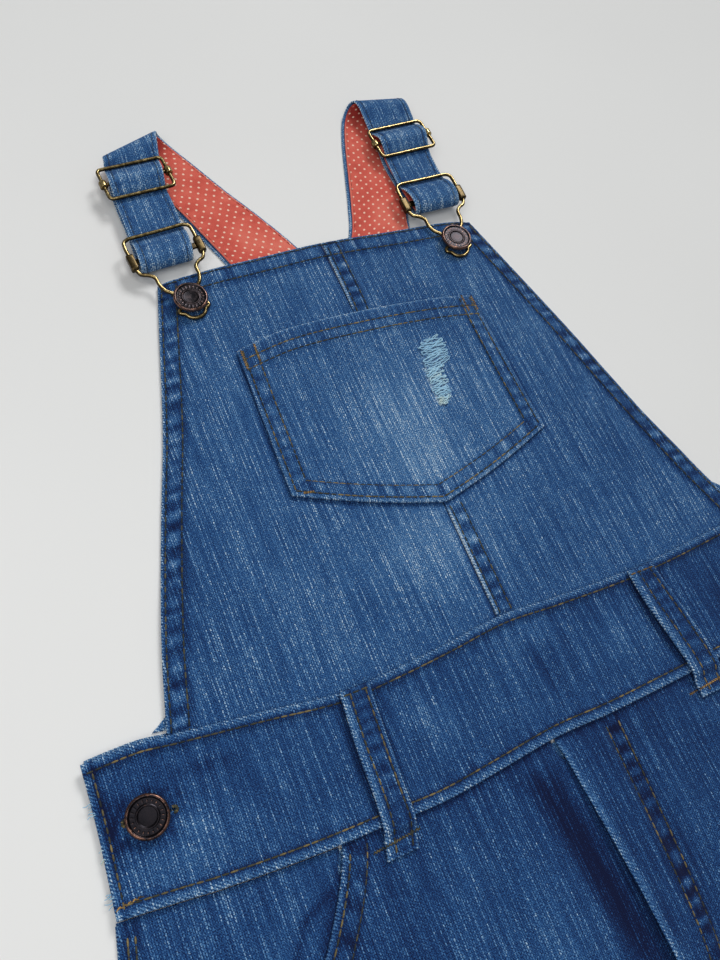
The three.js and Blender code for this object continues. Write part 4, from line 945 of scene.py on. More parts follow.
def leg_face(x, y, sign):
    """Height, wear with painted light and shade, and roping of a front leg."""
    to_opening = from_path(opening_path(1), np.abs(x), y)
    to_side = side_seam(y) - np.abs(x)
    to_hem = y - hem_foot(x)
    at_opening = turned(OPENING_HEM, to_opening)
    clear = 1 - ramp(band_foot(x) - BAND_CLEAR["far"], band_foot(x) - BAND_CLEAR["near"], y)
    height = leg_lower(x, y, sign) + CLOTH + np.maximum(at_opening, turned(LEG_HEM, to_hem)) * clear
    creases = leg_creases(x, y)
    height = height + np.maximum(creases, -0.5) + 0.1 * ripple(x, y, 7)
    # Creases and folds make the colour paler where they rise and darker where they sink: painted light and
    # shade.
    wear_and_shade = TONE["leg"] + fades(LEG_FADES, x, y) + 0.4 * creases + 0.09 * folds(LEG_FOLDS, x, y)
    run = 0.7 * (np.abs(x) - y)
    rise, shade = sewn(to_opening, run, OPENING_ROWS, 0.8 if sign < 0 else 2.2, 0.7)
    pale, near = folded_edge(to_opening, run, 1.2, 2.1)
    side_pale, side_near = folded_edge(to_side, y, 0.9, 1.2)
    height = height + rise * clear
    wear_and_shade = wear_and_shade + (shade + 0.8 * np.maximum(pale, side_pale)) * clear
    rope = np.maximum(near, side_near) * clear
    rise, shade = sewn(to_hem, x, LEG_HEM_ROWS, 3.1, 0.35)
    pale, near = folded_edge(to_hem, x, 5.2, 1.4)
    height, wear_and_shade, rope = height + rise, wear_and_shade + 0.6 * shade + 0.9 * pale, np.maximum(rope, near)
    beside = x - fly_edge(y)
    # Painted shadow just below the waistband's foot.
    wear_and_shade = wear_and_shade - 0.5 * fading(band_foot(x) - y, 2.6)
    if sign < 0:
        # Painted shadow of the fly's ridge over darker cloth, on the left leg beside the fly.
        v = FLY_SHADOW
        middle = v["x"] - v["lean"] * (y - v["y"])
        dark = bump(x, middle, v["width"]) * (1 - ramp(-74, -62, y)) * ramp(-210, -150, y)
        return height, wear_and_shade - 0.8 * dark, rope
    inner, outer = along(FLY_STITCH, "y", "inner", y), along(FLY_STITCH, "y", "outer", y)
    across = (x - inner) / (outer - inner) * 7
    shown = ramp(-184, -172, y) * clear
    rise, shade = sewn(across, y, (0, 7), 2.9, 1.15)
    # The fly's edge is paler: rubbed dye on the fold together with a painted highlight on its ridge.
    pale = bump(beside, 1.3, 2.3) * (0.85 + 0.25 * pucker(y * 1.9, 1.5)) * ramp(-262, -236, y)
    height = height + rise * shown
    wear_and_shade = wear_and_shade + shade * shown + 1.15 * pale * clear + 0.1 * bump(beside, 10, 7)
    return height, wear_and_shade, np.maximum(rope, bump(beside, 0, 2.4))


def leg_panel(side, sign, material):
    opening = [0, 0.2, 0.5, 0.9, 1.4, 2.3, 3.2, 4.4, 5.6, 6.8, 7.4, 8, 8.7, 9.4, 10.2]
    fly = [0, 0.2, 0.5, 0.9, 1.5, 2.2, 3.2]

    def inner(y):
        top = fly_edge(y) + (GAP / 2 if sign > 0 else along(FLY_UNDERLAP, "y", "reach", y))
        return np.where(y < CROTCH, sign * inseam_x(y), top)

    left, right = by_side(sign, inner, lambda y: sign * opening_x(y))
    columns = spread(opening, 114, fly) if sign < 0 else spread(fly, 120, opening)
    rows = spread([0, 0.3, 0.8, 1.5, 2.3, 3.2, 4.4], 192, [0, 2, 3.4, 4.2, 4.9, 5.8, 7])
    x, y = plan_grid(columns, rows, left, right, hem_foot, lambda x: band_foot(x) + TUCK)
    edge = least(x - left(y), right(y) - x, y - hem_foot(x))
    lower = leg_lower(x, y, sign) + np.maximum(leg_creases(x, y), -0.5)
    face = leg_face(x, y, sign)
    lay_panel(f"leg_front_{side}", x, y, lower, face, edge, material)


def facing_panel(side, sign, material):
    f = FACING

    def inner(y):
        clear = ramp(f["low"], f["top"], y)
        reach = f["underlap"] * (1 - clear) - f["short"] * clear
        return sign * (opening_x(np.maximum(y, OPENING_FOOT)) - reach)

    left, right = by_side(sign, inner, lambda y: sign * (side_seam(y) - f["edge"]))
    x, y = plan_grid(
        spread(END_STOPS, 40, END_STOPS), spread(END_STOPS, 44, END_STOPS), left, right,
        lambda x: f["foot"] + 0 * x, lambda x: band_foot(x) - GAP,
    )
    edge = least(x - left(y), right(y) - x, y - f["foot"])
    to_side = side_seam(y) - np.abs(x)
    shown = ramp(1, 5, np.abs(x) - opening_x(np.maximum(y, OPENING_FOOT)))
    roll = folds(FACING_ROLLS, x, y) * shown
    lower = FACING_REST + roll
    pale, near = folded_edge(to_side, y, 0.5)
    rise, shade = sewn(to_side, y, FACING_ROWS, 1.3, 0.6)
    wear_and_shade = TONE["leg"] + 0.35 + 0.7 * pale + shade
    # Painted shadow of the leg's edge along the pocket opening.
    wear_and_shade = wear_and_shade - 0.6 * bump(opening_x(y) - np.abs(x), 0, 3)
    # Painted shadow lines, and the rolls paler where they rise: painted light with some rubbed dye.
    wear_and_shade = wear_and_shade - 0.6 * folds(FACING_SHADOW_LINES, x, y) + 0.4 * roll
    height = FACING_REST + FACING_CLOTH + roll + 0.5 * rise * ramp(2, 5, edge)
    face = (height, wear_and_shade, near)
    lay_panel(f"pocket_facing_{side}", x, y, lower, face, edge, material)


# Straps


def strap_edges(rows, s):
    """Both edges of a strap at `s` rows along: a uniform Catmull-Rom curve through the rows."""
    p = np.stack(list(rows.values()), -1)
    last = len(p) - 1
    k = np.clip(np.floor(s).astype(int), 0, last - 1)
    t = (s - k)[:, None]
    a, b, c, d = (p[np.clip(k + n, 0, last)] for n in (-1, 0, 1, 2))
    at = b + 0.5 * t * (c - a + t * (2 * a - 5 * b + 4 * c - d + t * (3 * (b - c) + d - a)))
    return at[:, :3], at[:, 3:]


def strap_stations(rows, step):
    """Places along the rows that are `step` millimetres apart on the strap's middle."""
    dense = np.linspace(0, len(rows["left_x"]) - 1, 60 * len(rows["left_x"]))
    left, right = strap_edges(rows, dense)
    run = np.linalg.norm(np.diff((left + right) / 2, axis=0), axis=1)
    length = np.append(0, np.cumsum(run))
    count = int(length[-1] / step)
    at = np.linspace(0, length[-1], count)
    return np.interp(at, length, dense), at


def strap_surface(rows, step, inset, columns):
    """The surface where denim and lining meet, its normals on the denim side, the distance from
    each point to the nearer edge, and the distance along."""
    s, length = strap_stations(rows, step)
    left, right = strap_edges(rows, s)
    width = np.linalg.norm(right - left, axis=1)
    share, added = columns
    across = inset + share * (width[:, None] - 2 * inset) + added
    u = (across / width[:, None])[..., None]
    surface = left[:, None] * (1 - u) + right[:, None] * u
    run = np.gradient(surface, axis=0)
    normal = np.cross(run, (right - left)[:, None])
    normal /= np.linalg.norm(normal, axis=-1, keepdims=True)
    return surface, normal, across, width[:, None] - across, length


def strap_relief(to_left, to_right, length):
    """Grooves along both rows of stitching, and a slight unevenness of the cloth."""
    height = 0.1 * np.sin(length[:, None] / 6.3 + 0.6 * np.sin(to_left / 5))
    for distance in (to_left, to_right):
        height = height - 0.2 * bump(distance, STRAP_ROW, 0.55)
    return height


def strap_layer(side, kind, materials):
    """One layer of a strap as a closed wall: the denim on one side of the meeting surface, or the
    printed lining on the other. The wall thins in a curve to its edges and ends."""
    rows = STRAPS[side]["rows"]
    edge_stops = [0, 0.2, 0.5, 0.9, 1.4, 2, 2.9, 3.7]
    denim = kind == "denim"
    inset = 0 if denim else LINING_INSET
    columns = spread(edge_stops, 18, edge_stops)
    surface, normal, to_left, to_right, length = strap_surface(rows, 1.25, inset, columns)
    edge = np.minimum(to_left, to_right) - inset
    ends = np.minimum(length, length[-1] - length)[:, None]
    half = STRAP_LAYER / 2 * rounded(np.minimum(edge, ends))
    relief = strap_relief(to_left, to_right, length)
    sign = 1 if denim else -1
    middle = sign * (GAP + STRAP_LAYER) / 2
    outer = middle + sign * (half + 0.5 * np.clip(relief, -0.3, 0.3) * (edge > 1))
    inner = middle - sign * half
    faces_of = (outer, inner) if denim else (inner, outer)
    upper, under = (surface + normal * f[..., None] for f in faces_of)
    points = np.concatenate([upper.reshape(-1, 3), under.reshape(-1, 3)])
    faces = shell_faces(*edge.shape)
    if strap_faces_down(upper, normal):
        faces = faces[:, ::-1]
    uv = np.stack([to_left, np.broadcast_to(length[:, None], to_left.shape)], -1).reshape(-1, 2)
    # Crests of the strap's bends are painted paler and hollows darker: partly rubbed dye, partly painted
    # light and shade.
    bend = np.gradient(np.gradient(surface, axis=0), axis=0) / np.gradient(length)[:, None, None] ** 2
    crest = -(bend * normal).sum(-1) * sign
    pale, near = folded_edge(edge, length[:, None], 0.8 if side == "left" else 2.3, 1.0)
    wear_and_shade = TONE["strap"] + 0.85 * pale + 1.5 * np.clip(crest, -0.15, 0.2)
    if not denim:
        # Painted shadow inside the fold at the shoulder, on the lining.
        shoulder = length[np.argmax(surface[:, 0, 2] > SHOULDER_RISE)]
        wear_and_shade = wear_and_shade - 2.4 * bump(length[:, None], shoulder, 9)
    # Painted shade along both rows of stitching.
    for distance in (to_left, to_right):
        wear_and_shade = wear_and_shade - 0.3 * bump(distance, STRAP_ROW, 0.8)
    # Puckers near the edges, pale and dark in turn: partly rubbed dye, partly painted light and shade.
    wear_and_shade = wear_and_shade + 0.3 * pucker(length[:, None], 1.1) * bump(edge, 4.6, 2.2)
    node = f"strap_{side}" if denim else f"strap_lining_{side}"
    values = {"wear_and_shade": np.tile(wear_and_shade.ravel(), 2), "rope": np.tile(near.ravel(), 2)}
    piece = make_piece(node + "_cloth", points, faces, materials[kind], np.tile(uv, (2, 1)), values)
    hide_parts(node)


def strap_faces_down(upper, normal):
    """True if the grid's own winding points against the denim side's normal."""
    across = upper[5, 6] - upper[5, 5]
    along_it = upper[6, 5] - upper[5, 5]
    return np.dot(np.cross(across, along_it), normal[5, 5]) < 0


# Stitching

STITCH = {"length": 3.1, "gap": 0.1, "radius": 0.43, "dip": 0.26, "rise": 0.12}
STRAP_STITCH = {"radius": 0.24, "dip": 0.3}
TACK = {"radius": 0.27, "dip": 0.3, "rise": 0.25}
RING_AT = np.array([-0.5, -0.36, 0, 0.36, 0.5])
RING_SIZE = np.array([0.3, 0.8, 1, 0.8, 0.3])
RING_DROP = np.array([1, 0.35, 0, 0.35, 1])
THREAD_SIDES = 6
STITCH_FLOOR = 0.5  # no stitches where the strap's face lies lower than this, on the table


def tube_faces(rings):
    """Quads of a thread's walls and of its two ends, from the numbers of its rings' six points."""
    after = np.roll(rings, -1, axis=1)
    walls = np.stack([rings[:-1], rings[1:], after[1:], after[:-1]], -1).reshape(-1, 4)
    first, last = rings[0], rings[-1]
    ends = [first[[0, 1, 2, 3]], first[[0, 3, 4, 5]], last[[3, 2, 1, 0]], last[[5, 4, 3, 0]]]
    return np.concatenate([walls, ends])


def spindles(name, centres, ahead, out, length, radius, dip, material, seed):
    """Joined stitches. Each is five rings round its own line, thick in the middle, whose ends
    sink into the cloth. `ahead` points along the stitch and `out` away from the cloth."""
    ahead = ahead / np.linalg.norm(ahead, axis=1, keepdims=True)
    side = np.cross(ahead, out)
    side /= np.linalg.norm(side, axis=1, keepdims=True)
    out = np.cross(side, ahead)
    turn = 2 * np.pi * np.arange(THREAD_SIDES) / THREAD_SIDES
    t = (length[:, None] * RING_AT)[:, :, None, None]
    drop = (dip * RING_DROP)[None, :, None, None]
    size = (radius * RING_SIZE)[None, :, None, None]
    n = len(centres)
    c, s = np.cos(turn)[None, None, :, None], np.sin(turn)[None, None, :, None]
    points = centres[:, None, None] + ahead[:, None, None] * t
    points = points + side[:, None, None] * size * c + out[:, None, None] * (size * s - drop)
    rings = np.arange(len(RING_AT) * THREAD_SIDES).reshape(-1, THREAD_SIDES)
    faces = (tube_faces(rings)[None] + (np.arange(n) * rings.size)[:, None, None]).reshape(-1, 4)
    tones = np.repeat(np.random.default_rng(seed).random(n), rings.size)
    return make_piece(name, points.reshape(-1, 3), faces, material, None, {"tone": tones})


def stitch_line(path, seed):
    """Middles, directions and lengths of the stitches along a path of plan or space points."""
    step = np.linalg.norm(np.diff(path, axis=0), axis=1)
    length = np.append(0, np.cumsum(step))
    pitch = STITCH["length"] + STITCH["gap"]
    count = max(1, int(length[-1] / pitch))
    wander = np.random.default_rng(seed).normal(0, 0.12, count)
    at = (np.arange(count) + 0.5) * length[-1] / count + wander

    def point(s):
        return np.stack([np.interp(s, length, path[:, i]) for i in range(path.shape[1])], -1)

    reach = STITCH["length"] / 2
    ahead = point(at + reach) - point(at - reach)
    return point(at), ahead, np.full(count, STITCH["length"]) * (1 + 0.5 * wander)


def sew_flat(name, rows, height, material, seed):
    """Rows of stitching on a flat-lying panel, each row a path in plan, at the panel's height."""
    centres, ahead, lengths = [], [], []
    for k, path in enumerate(rows):
        c, a, n = stitch_line(np.asarray(path, float), seed + k)
        reach = 0.8 * a / np.linalg.norm(a, axis=1, keepdims=True)
        fore, aft = c + reach, c - reach
        before, after, here = (height(p[:, 0], p[:, 1]) for p in (fore, aft, c))
        z = (before + after + here) / 3
        centres.append(np.column_stack([c, z + STITCH["rise"]]))
        ahead.append(np.column_stack([reach * 2, before - after]))
        lengths.append(n)
    centres, ahead, lengths = (np.concatenate(part) for part in (centres, ahead, lengths))
    out = np.tile([0.0, 0.0, 1.0], (len(centres), 1))
    spindles(name, centres, ahead, out, lengths, STITCH["radius"], STITCH["dip"], material, seed)


def tack(start, end, width, pitch=0.5, slant=0.25):
    """A bar tack: close threads laid across a short line. Returns middles and directions."""
    start, end = np.array(start, float), np.array(end, float)
    run = end - start
    count = max(3, int(np.linalg.norm(run) / pitch))
    t = (np.arange(count) + 0.5) / count
    forward = run / np.linalg.norm(run)
    across = np.array([-forward[1], forward[0]])
    centres = start + t[:, None] * run
    lean = np.where(np.arange(count) % 2 == 0, slant, -slant)[:, None]
    return centres, (across + lean * forward) * width


def sew_tacks(name, tacks, height, material, seed):
    """Bar tacks on a flat-lying panel, at the panel's height."""
    centres = np.concatenate([c for c, _ in tacks])
    ahead = np.concatenate([a for _, a in tacks])
    z = height(centres[:, 0], centres[:, 1]) + TACK["rise"]
    lengths = np.linalg.norm(ahead, axis=1)
    centres, ahead = np.column_stack([centres, z]), np.column_stack([ahead, 0 * z])
    out = np.tile([0.0, 0.0, 1.0], (len(centres), 1))
    spindles(name, centres, ahead, out, lengths, TACK["radius"], TACK["dip"], material, seed)


def up_line(x_of, low, high, step=1.0):
    """A path up the garment, its x a function of y."""
    y = np.arange(low, high, step)
    return np.column_stack([x_of(y), y])


def across_line(y_of, low, high, step=1.0):
    """A path across the garment, its y a function of x."""
    x = np.arange(low, high, step)
    return np.column_stack([x, y_of(x)])


def height_of(face, *side):
    """The height alone of a face, on one of two sides where it has them."""
    return lambda x, y: face(x, y, *side)[0]


def bib_height(x, y):
    left, right = bib_face(x, y, "left")[0], bib_face(x, y, "right")[0]
    return np.where(x < seam_x(y), left, right)


def sew_bib(thread):
    rows = []
    for d in BIB_SIDE_ROWS:
        rows.append(up_line(lambda y: bib_left(y) + d, 0, 211))
        rows.append(up_line(lambda y: bib_right(y) - d, 2, 211))
    for d in BIB_TOP_ROWS:
        rows.append(across_line(lambda x: bib_top(x) - d, -86.5, 87))
    for d in SEAM_ROWS:
        rows.append(up_line(lambda y: seam_x(y) + d, 1, 58))
        rows.append(up_line(lambda y: seam_x(y) + d, 170.5, 214))
    sew_flat("bib_stitching", rows, bib_height, thread, 10)


def sew_pocket(thread, tack_thread):
    rows = []
    for d in POCKET_EDGE_ROWS:
        down = d / FOOT_SLANT
        rows.append(up_line(lambda y: pocket_left(y) + d, 84 - 0.36 * d + down, 163))
        rows.append(up_line(lambda y: pocket_right(y) - d, 81 - 0.33 * d + down, 163.5))
        rows.append(across_line(lambda x: pocket_foot(x) + down, -69 + d, 68 - d))
    for d in POCKET_MOUTH_ROWS:
        rows.append(across_line(lambda x: pocket_mouth(x) - d, -65.6, 65.6))
    height = height_of(pocket_face)
    sew_flat("pocket_stitching", rows, height, thread, 40)
    tacks = [tack((x, y0), (x + lean, y1), 1.3, 0.7, 0.5) for x, y0, y1, lean in (
        (-64.8, 163, 152.5, -0.2), (-57.6, 164.6, 153, -0.3),
        (59.6, 164.6, 154.4, 0.3), (65.2, 163.4, 154.4, 0.2),
    )]
    tacks.append(tack((-63.5, 83.4), (-58.5, 82.6), 1.4))
    sew_tacks("pocket_tacks", tacks, height, tack_thread, 45)


def sew_band(thread, tack_thread):
    rows = [
        across_line(lambda x: band_top(x) - BAND_ROWS["top"], -186, 186),
        across_line(lambda x: band_foot(x) + BAND_ROWS["foot"], -186, 186),
        up_line(lambda y: BAND_ROWS["end"] - band_end(y), -50, 0.5),
        up_line(lambda y: band_end(y) - BAND_ROWS["end"], -48, 1),
    ]
    height = height_of(band_face)
    sew_flat("band_stitching", rows, height, thread, 60)
    tacks = []
    for sign in (-1, 1):
        foot = float(band_foot(sign * 184.0)) + BAND_ROWS["foot"] + 0.6
        tacks.append(tack((sign * 189, foot - 0.6), (sign * 179.5, foot + 0.2), 1.0, 0.9, 2.2))
    sew_tacks("band_tacks", tacks, height, tack_thread, 64)
    buttonholes(height, thread)


def buttonholes(height, thread):
    """Close stitching round both ends of each buttonhole slit, laid out like a fan."""
    centres, ahead = [], []
    b = BUTTONHOLE
    far = WAIST_BUTTON["x"] + b["reach"] + 0.8
    near = WAIST_BUTTON["x"] + b["reach"] - b["length"] - 0.8
    for sign in (-1, 1):
        for end, facing, y in ((far, 1, b["far_y"]), (near, -1, b["near_y"])):
            angle = np.linspace(-1.9, 1.9, 13)
            out = np.column_stack([facing * np.cos(angle), np.sin(angle)])
            at = np.array([end - facing * 1.6, y]) + 1.1 * out
            at[:, 0] *= sign
            out[:, 0] *= sign
            centres.append(at)
            ahead.append(1.3 * out)
    sew_tacks("buttonhole_stitching", list(zip(centres, ahead)), height, thread, 70)


def sew_loops(thread, tack_thread):
    for side, loop in BELT_LOOPS.items():
        height, beside = height_of(loop_face, side), height_of(leg_face, SIDES[side])

        def foot_height(x, y):
            return np.where(least(*loop_sides(loop, x, y)) > 0, height(x, y), beside(x, y))

        head, foot = loop["y"][0], loop["y"][-1]
        near, far = LOOP_ROWS[side]
        rows = [
            up_line(lambda y: along(loop, "y", "left", y) + near, foot + 1.5, head - 1),
            up_line(lambda y: along(loop, "y", "right", y) - far, foot + 1.5, head - 1),
        ]
        sew_flat(f"belt_loop_{side}_stitching", rows, height, thread, 80 if side == "left" else 84)
        left, right = loop["left"][0] + 0.6, loop["right"][0] - 0.6
        rows = [across_line(lambda x: head - LOOP_HEAD_ROW + 0 * x, left, right)]
        head_thread = thread if side == "left" else tack_thread
        sew_flat(f"belt_loop_{side}_head_stitching", rows, height, head_thread, 86)
        tacks = [tack(*LOOP_FOOT_TACKS[side], 1.2, 0.6, 0.9)]
        sew_tacks(f"belt_loop_{side}_tack", tacks, foot_height, head_thread, 88)


def sew_legs(thread):
    for side, sign in SIDES.items():
        rows = [path[path[:, 1] < -63] for path in (opening_path(sign, d) for d in OPENING_ROWS)]
        rows += [up_line(lambda y: sign * (side_seam(y) - d), -318, -158) for d in OUTSEAM_ROWS]
        hem_ends = sorted((sign * 14.5, sign * 248))
        rows.append(across_line(lambda x: hem_foot(x) + LEG_HEM_ROWS[1], *hem_ends))
        if sign > 0:
            rows += [
                up_line(lambda y: along(FLY_STITCH, "y", "inner", y), -178, -60),
                up_line(lambda y: along(FLY_STITCH, "y", "outer", y), -178, -60),
                up_line(lambda y: fly_edge(y) + 2.6, -258, -186),
            ]
        seed = 100 if sign < 0 else 120
        sew_flat(f"leg_{side}_stitching", rows, height_of(leg_face, sign), thread, seed)
        side_rows = [up_line(lambda y: sign * (side_seam(y) - d), -146, -58) for d in FACING_ROWS]
        sew_flat(
            f"side_seam_{side}_stitching", side_rows,
            lambda x, y: FACING_REST + FACING_CLOTH + 0 * x, thread, 140,
        )


def sew_strap(side, kind, material, seed):
    """Two rows of stitching along one face of a strap."""
    rows = STRAPS[side]["rows"]
    columns = (np.array([0.0, 1.0]), np.array([STRAP_ROW, -STRAP_ROW]))
    surface, normal, _, _, length = strap_surface(rows, 1.0, 0, columns)
    sign = 1 if kind == "denim" else -1
    level = surface + normal * sign * ((GAP / 2 + STRAP_LAYER) + 0.02)
    keep = (length > 30) & (length < length[-1] - 4) & (level[..., 2].min(axis=1) > STITCH_FLOOR)
    centres, ahead, outs, lengths = [], [], [], []
    for column in (0, 1):
        path = level[keep][:, column]
        c, a, n = stitch_line(path, seed + column)
        run = np.append(0, np.cumsum(np.linalg.norm(np.diff(path, axis=0), axis=1)))
        at = np.linspace(0, run[-1], len(c))
        out = np.stack([np.interp(at, run, normal[keep][:, column, i]) for i in range(3)], -1) * sign
        centres.append(c)
        ahead.append(a)
        outs.append(out)
        lengths.append(n)
    spindles(
        f"strap_{side}_{kind}_stitching", np.concatenate(centres), np.concatenate(ahead),
        np.concatenate(outs), np.concatenate(lengths), STRAP_STITCH["radius"], STRAP_STITCH["dip"],
        material, seed,
    )


# Loose threads


def threads(name, paths, radii, material, tones):
    """Joined round threads: a ring of points round each point of each path, closed at the ends."""
    points, faces, values = [], [], []
    total = 0
    turn = (2 * np.pi * np.arange(THREAD_SIDES) / THREAD_SIDES)[:, None]
    for path, radius, tone in zip(paths, radii, tones):
        tangent = np.gradient(path, axis=0)
        tangent /= np.linalg.norm(tangent, axis=1, keepdims=True)
        side = np.cross(tangent, [0, 0, 1.0])
        side /= np.linalg.norm(side, axis=1, keepdims=True) + 1e-9
        out = np.cross(side, tangent)
        taper = radius * np.sqrt(np.clip(1.02 - np.linspace(-1, 1, len(path)) ** 8, 0.1, 1))
        rim = side[:, None] * np.cos(turn) + out[:, None] * np.sin(turn)
        ring = path[:, None] + taper[:, None, None] * rim
        index = np.arange(ring.shape[0] * THREAD_SIDES).reshape(-1, THREAD_SIDES)
        faces.append(tube_faces(index) + total)
        points.append(ring.reshape(-1, 3))
        values.append(np.full(index.size, tone))
        total += index.size
    points, faces, values = (np.concatenate(part) for part in (points, faces, values))
    return make_piece(name, points, faces, material, None, {"tone": values})


def distress(material):
    """Pale weft threads left across the worn patch: each doubles back on itself in a loop at its
    end, waves a little and leans, and those at the patch's foot are cream."""
    rng = np.random.default_rng(5)
    paths, radii, tones = [], [], []
    count = 27
    for k in range(count):
        y0 = DISTRESS_HEAD - 0.9 - (DISTRESS_HEAD - DISTRESS_FOOT - 1.4) * k / (count - 1)
        middle, half = (float(v) for v in distress_at(y0))
        flip = -1 if k % 2 else 1
        half = half * rng.uniform(0.7, 1.04) + 2 * bump(y0, 141, 0.8)
        middle = middle + rng.uniform(-0.8, 0.8)
        t = np.linspace(0, 1, 60)
        around = np.clip((t - 0.44) / 0.12, 0, 1) * np.pi
        x = np.where(t < 0.5, -1 + 2 * np.minimum(t / 0.44, 1), -1 + 2 * np.minimum((1 - t) / 0.44, 1))
        x = x + 0.16 * np.sin(around)
        lean = half * x * (rng.uniform(-0.05, 0.3) * ramp(112, 122, y0) + rng.uniform(-0.08, 0.08))
        loop = rng.uniform(0.6, 1.5) * (1 - np.cos(around)) / 2
        phase, waves = rng.uniform(0, 6.3), rng.uniform(8, 16)
        y = y0 + lean - loop + 0.4 * np.sin(waves * t + phase) + 0.16 * np.sin(31 * t + phase)
        px = middle + flip * half * x
        y = np.clip(y if flip > 0 else y - 2 * lean, DISTRESS_FOOT - 0.5, DISTRESS_HEAD + 0.8)
        z = pocket_face(px, y)[0] + 0.85 + 0.3 * np.sin(4.3 * waves * t + 2 * phase)
        z = z - 0.75 * ramp(0.1, 0, t) - 0.75 * ramp(0.9, 1, t)
        paths.append(np.column_stack([px, y, z]))
        radii.append(rng.uniform(0.28, 0.46))
        tones.append(np.clip(rng.normal(0.42, 0.12), 0.1, 0.7) if k < count - 3 else rng.uniform(0.85, 1))
    threads("pocket_worn_threads", paths, radii, material, tones)


def frayed_ends(material):
    """Short thread ends that stand out from the waistband's left end."""
    rng = np.random.default_rng(11)
    paths, radii, tones = [], [], []
    for y0, count in ((-13, 5), (-45, 6), (-30, 3)):
        for _ in range(count):
            t = np.linspace(0, 1, 12)
            length, lean = rng.uniform(1.8, 4.2), rng.uniform(-1.6, 1.6)
            x = -band_end(y0) + 0.8 - length * t
            y = y0 + rng.uniform(-2.4, 2.4) + lean * t + 0.3 * np.sin(5 * t + rng.uniform(0, 6))
            z = 3.6 + rng.uniform(-0.8, 1) - 1.0 * t * t
            paths.append(np.column_stack([x, y, z]))
            radii.append(0.16)
            tones.append(rng.uniform(0.2, 0.9))
    threads("waistband_frayed_ends", paths, radii, material, tones)


# Wire hardware and buttons


def placing(x, y, z, turn, tilt):
    """Turns points about z and tilts them up towards the shoulder, then moves them into place."""
    spin = Matrix.Rotation(math.radians(turn), 3, "Z") @ Matrix.Rotation(math.radians(tilt), 3, "X")
    spin = np.array(spin)
    return lambda points: points @ spin.T + np.array([x, y, z])


def smooth_loop(points, steps):
    """A closed centripetal Catmull-Rom curve through points, `steps` to each span."""
    p = np.asarray(points, float)
    a, b, c, d = (np.roll(p, n, axis=0)[:, None] for n in (1, 0, -1, -2))
    pairs = ((b, a), (c, b), (d, c))
    da, db, dc = (np.sqrt(np.linalg.norm(q - r, axis=-1, keepdims=True)) for q, r in pairs)
    m1 = ((b - a) / da - (c - a) / (da + db) + (c - b) / db) * db
    m2 = ((c - b) / db - (d - b) / (db + dc) + (d - c) / dc) * db
    t = (np.arange(steps) / steps)[None, :, None]
    curve = b + m1 * t + (3 * (c - b) - 2 * m1 - m2) * t**2 + (2 * (b - c) + m1 + m2) * t**3
    return curve.reshape(-1, p.shape[1])


def wire(name, points, radius, place, material):
    """A wire of round section round a closed loop of points that lies in a plane. Its
    rub value is greatest on top, where the plating has worn and a painted highlight
    lies, and nothing below, which is painted shade."""
    tangent = np.roll(points, -1, axis=0) - np.roll(points, 1, axis=0)
    tangent /= np.linalg.norm(tangent, axis=1, keepdims=True)
    up = np.array([0, 0, 1.0])
    out = np.cross(tangent, up)
    turn = 2 * np.pi * np.arange(WIRE_SIDES) / WIRE_SIDES
    ring = points[:, None] + radius * (out[:, None] * np.cos(turn)[:, None] + up * np.sin(turn)[:, None])
    index = np.arange(len(points) * WIRE_SIDES).reshape(-1, WIRE_SIDES)
    ahead, after = np.roll(index, -1, axis=0), np.roll(index, -1, axis=1)
    both = np.roll(ahead, -1, axis=1)
    faces = np.stack([index, ahead, both, after], -1).reshape(-1, 4)
    rub = np.tile(np.clip(np.sin(turn), 0, 1) ** 1.4, len(points))
    return make_piece(name, place(ring.reshape(-1, 3)), faces, material, None, {"rub": rub})


def finish_metal(node):
    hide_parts(node)


def slider_loop():
    """A rectangle with round corners, 9 points to a corner, run anticlockwise."""
    x, y = SLIDER_HALF_WIDTH - SLIDER_CORNER, SLIDER_HALF_HEIGHT - SLIDER_CORNER
    points = []
    for cx, cy, start in ((x, -y, -90), (x, y, 0), (-x, y, 90), (-x, -y, 180)):
        angle = np.radians(start + np.linspace(0, 90, 9))
        corner = np.column_stack([cx + SLIDER_CORNER * np.cos(angle), cy + SLIDER_CORNER * np.sin(angle)])
        points.append(corner)
    corners = np.concatenate(points)
    filled = []
    for start, end in zip(corners, np.roll(corners, -1, axis=0)):
        count = max(1, int(np.linalg.norm(end - start) / 1.5))
        t = np.arange(count)[:, None] / count
        filled.append(start + (end - start) * t)
    flat = np.concatenate(filled)
    return np.column_stack([flat, 0 * flat[:, 0]])


def buckle_loop():
    half = np.array(BUCKLE_WIRE, float)
    other = half[1:-1][::-1] * [-1, 1]
    loop = np.concatenate([half, other])[::-1]
    flat = smooth_loop(loop, 8)
    return np.column_stack([flat, 0 * flat[:, 0]])


def ring_faces(rings, sides):
    """Quads between neighbouring rings of points, each ring closed on itself."""
    index = np.arange(rings * sides).reshape(rings, sides)
    after = np.roll(index, -1, axis=1)
    return np.stack([index[:-1], after[:-1], after[1:], index[1:]], -1).reshape(-1, 4)


def revolved(profile, segments, axis="z"):
    """A profile of radius and height turned round an axis, as a grid of points and quads. Where the
    radius is 0 the ring is drawn in to a point."""
    profile = np.asarray(profile, float)
    angle = 2 * np.pi * np.arange(segments) / segments
    r, h = profile[:, 0][:, None], profile[:, 1][:, None]
    a, b, c = r * np.cos(angle), r * np.sin(angle), h + 0 * angle
    order = (a, b, c) if axis == "z" else ((c, a, b) if axis == "x" else (b, c, a))
    points = np.stack(order, -1)
    return points, ring_faces(len(points), segments)


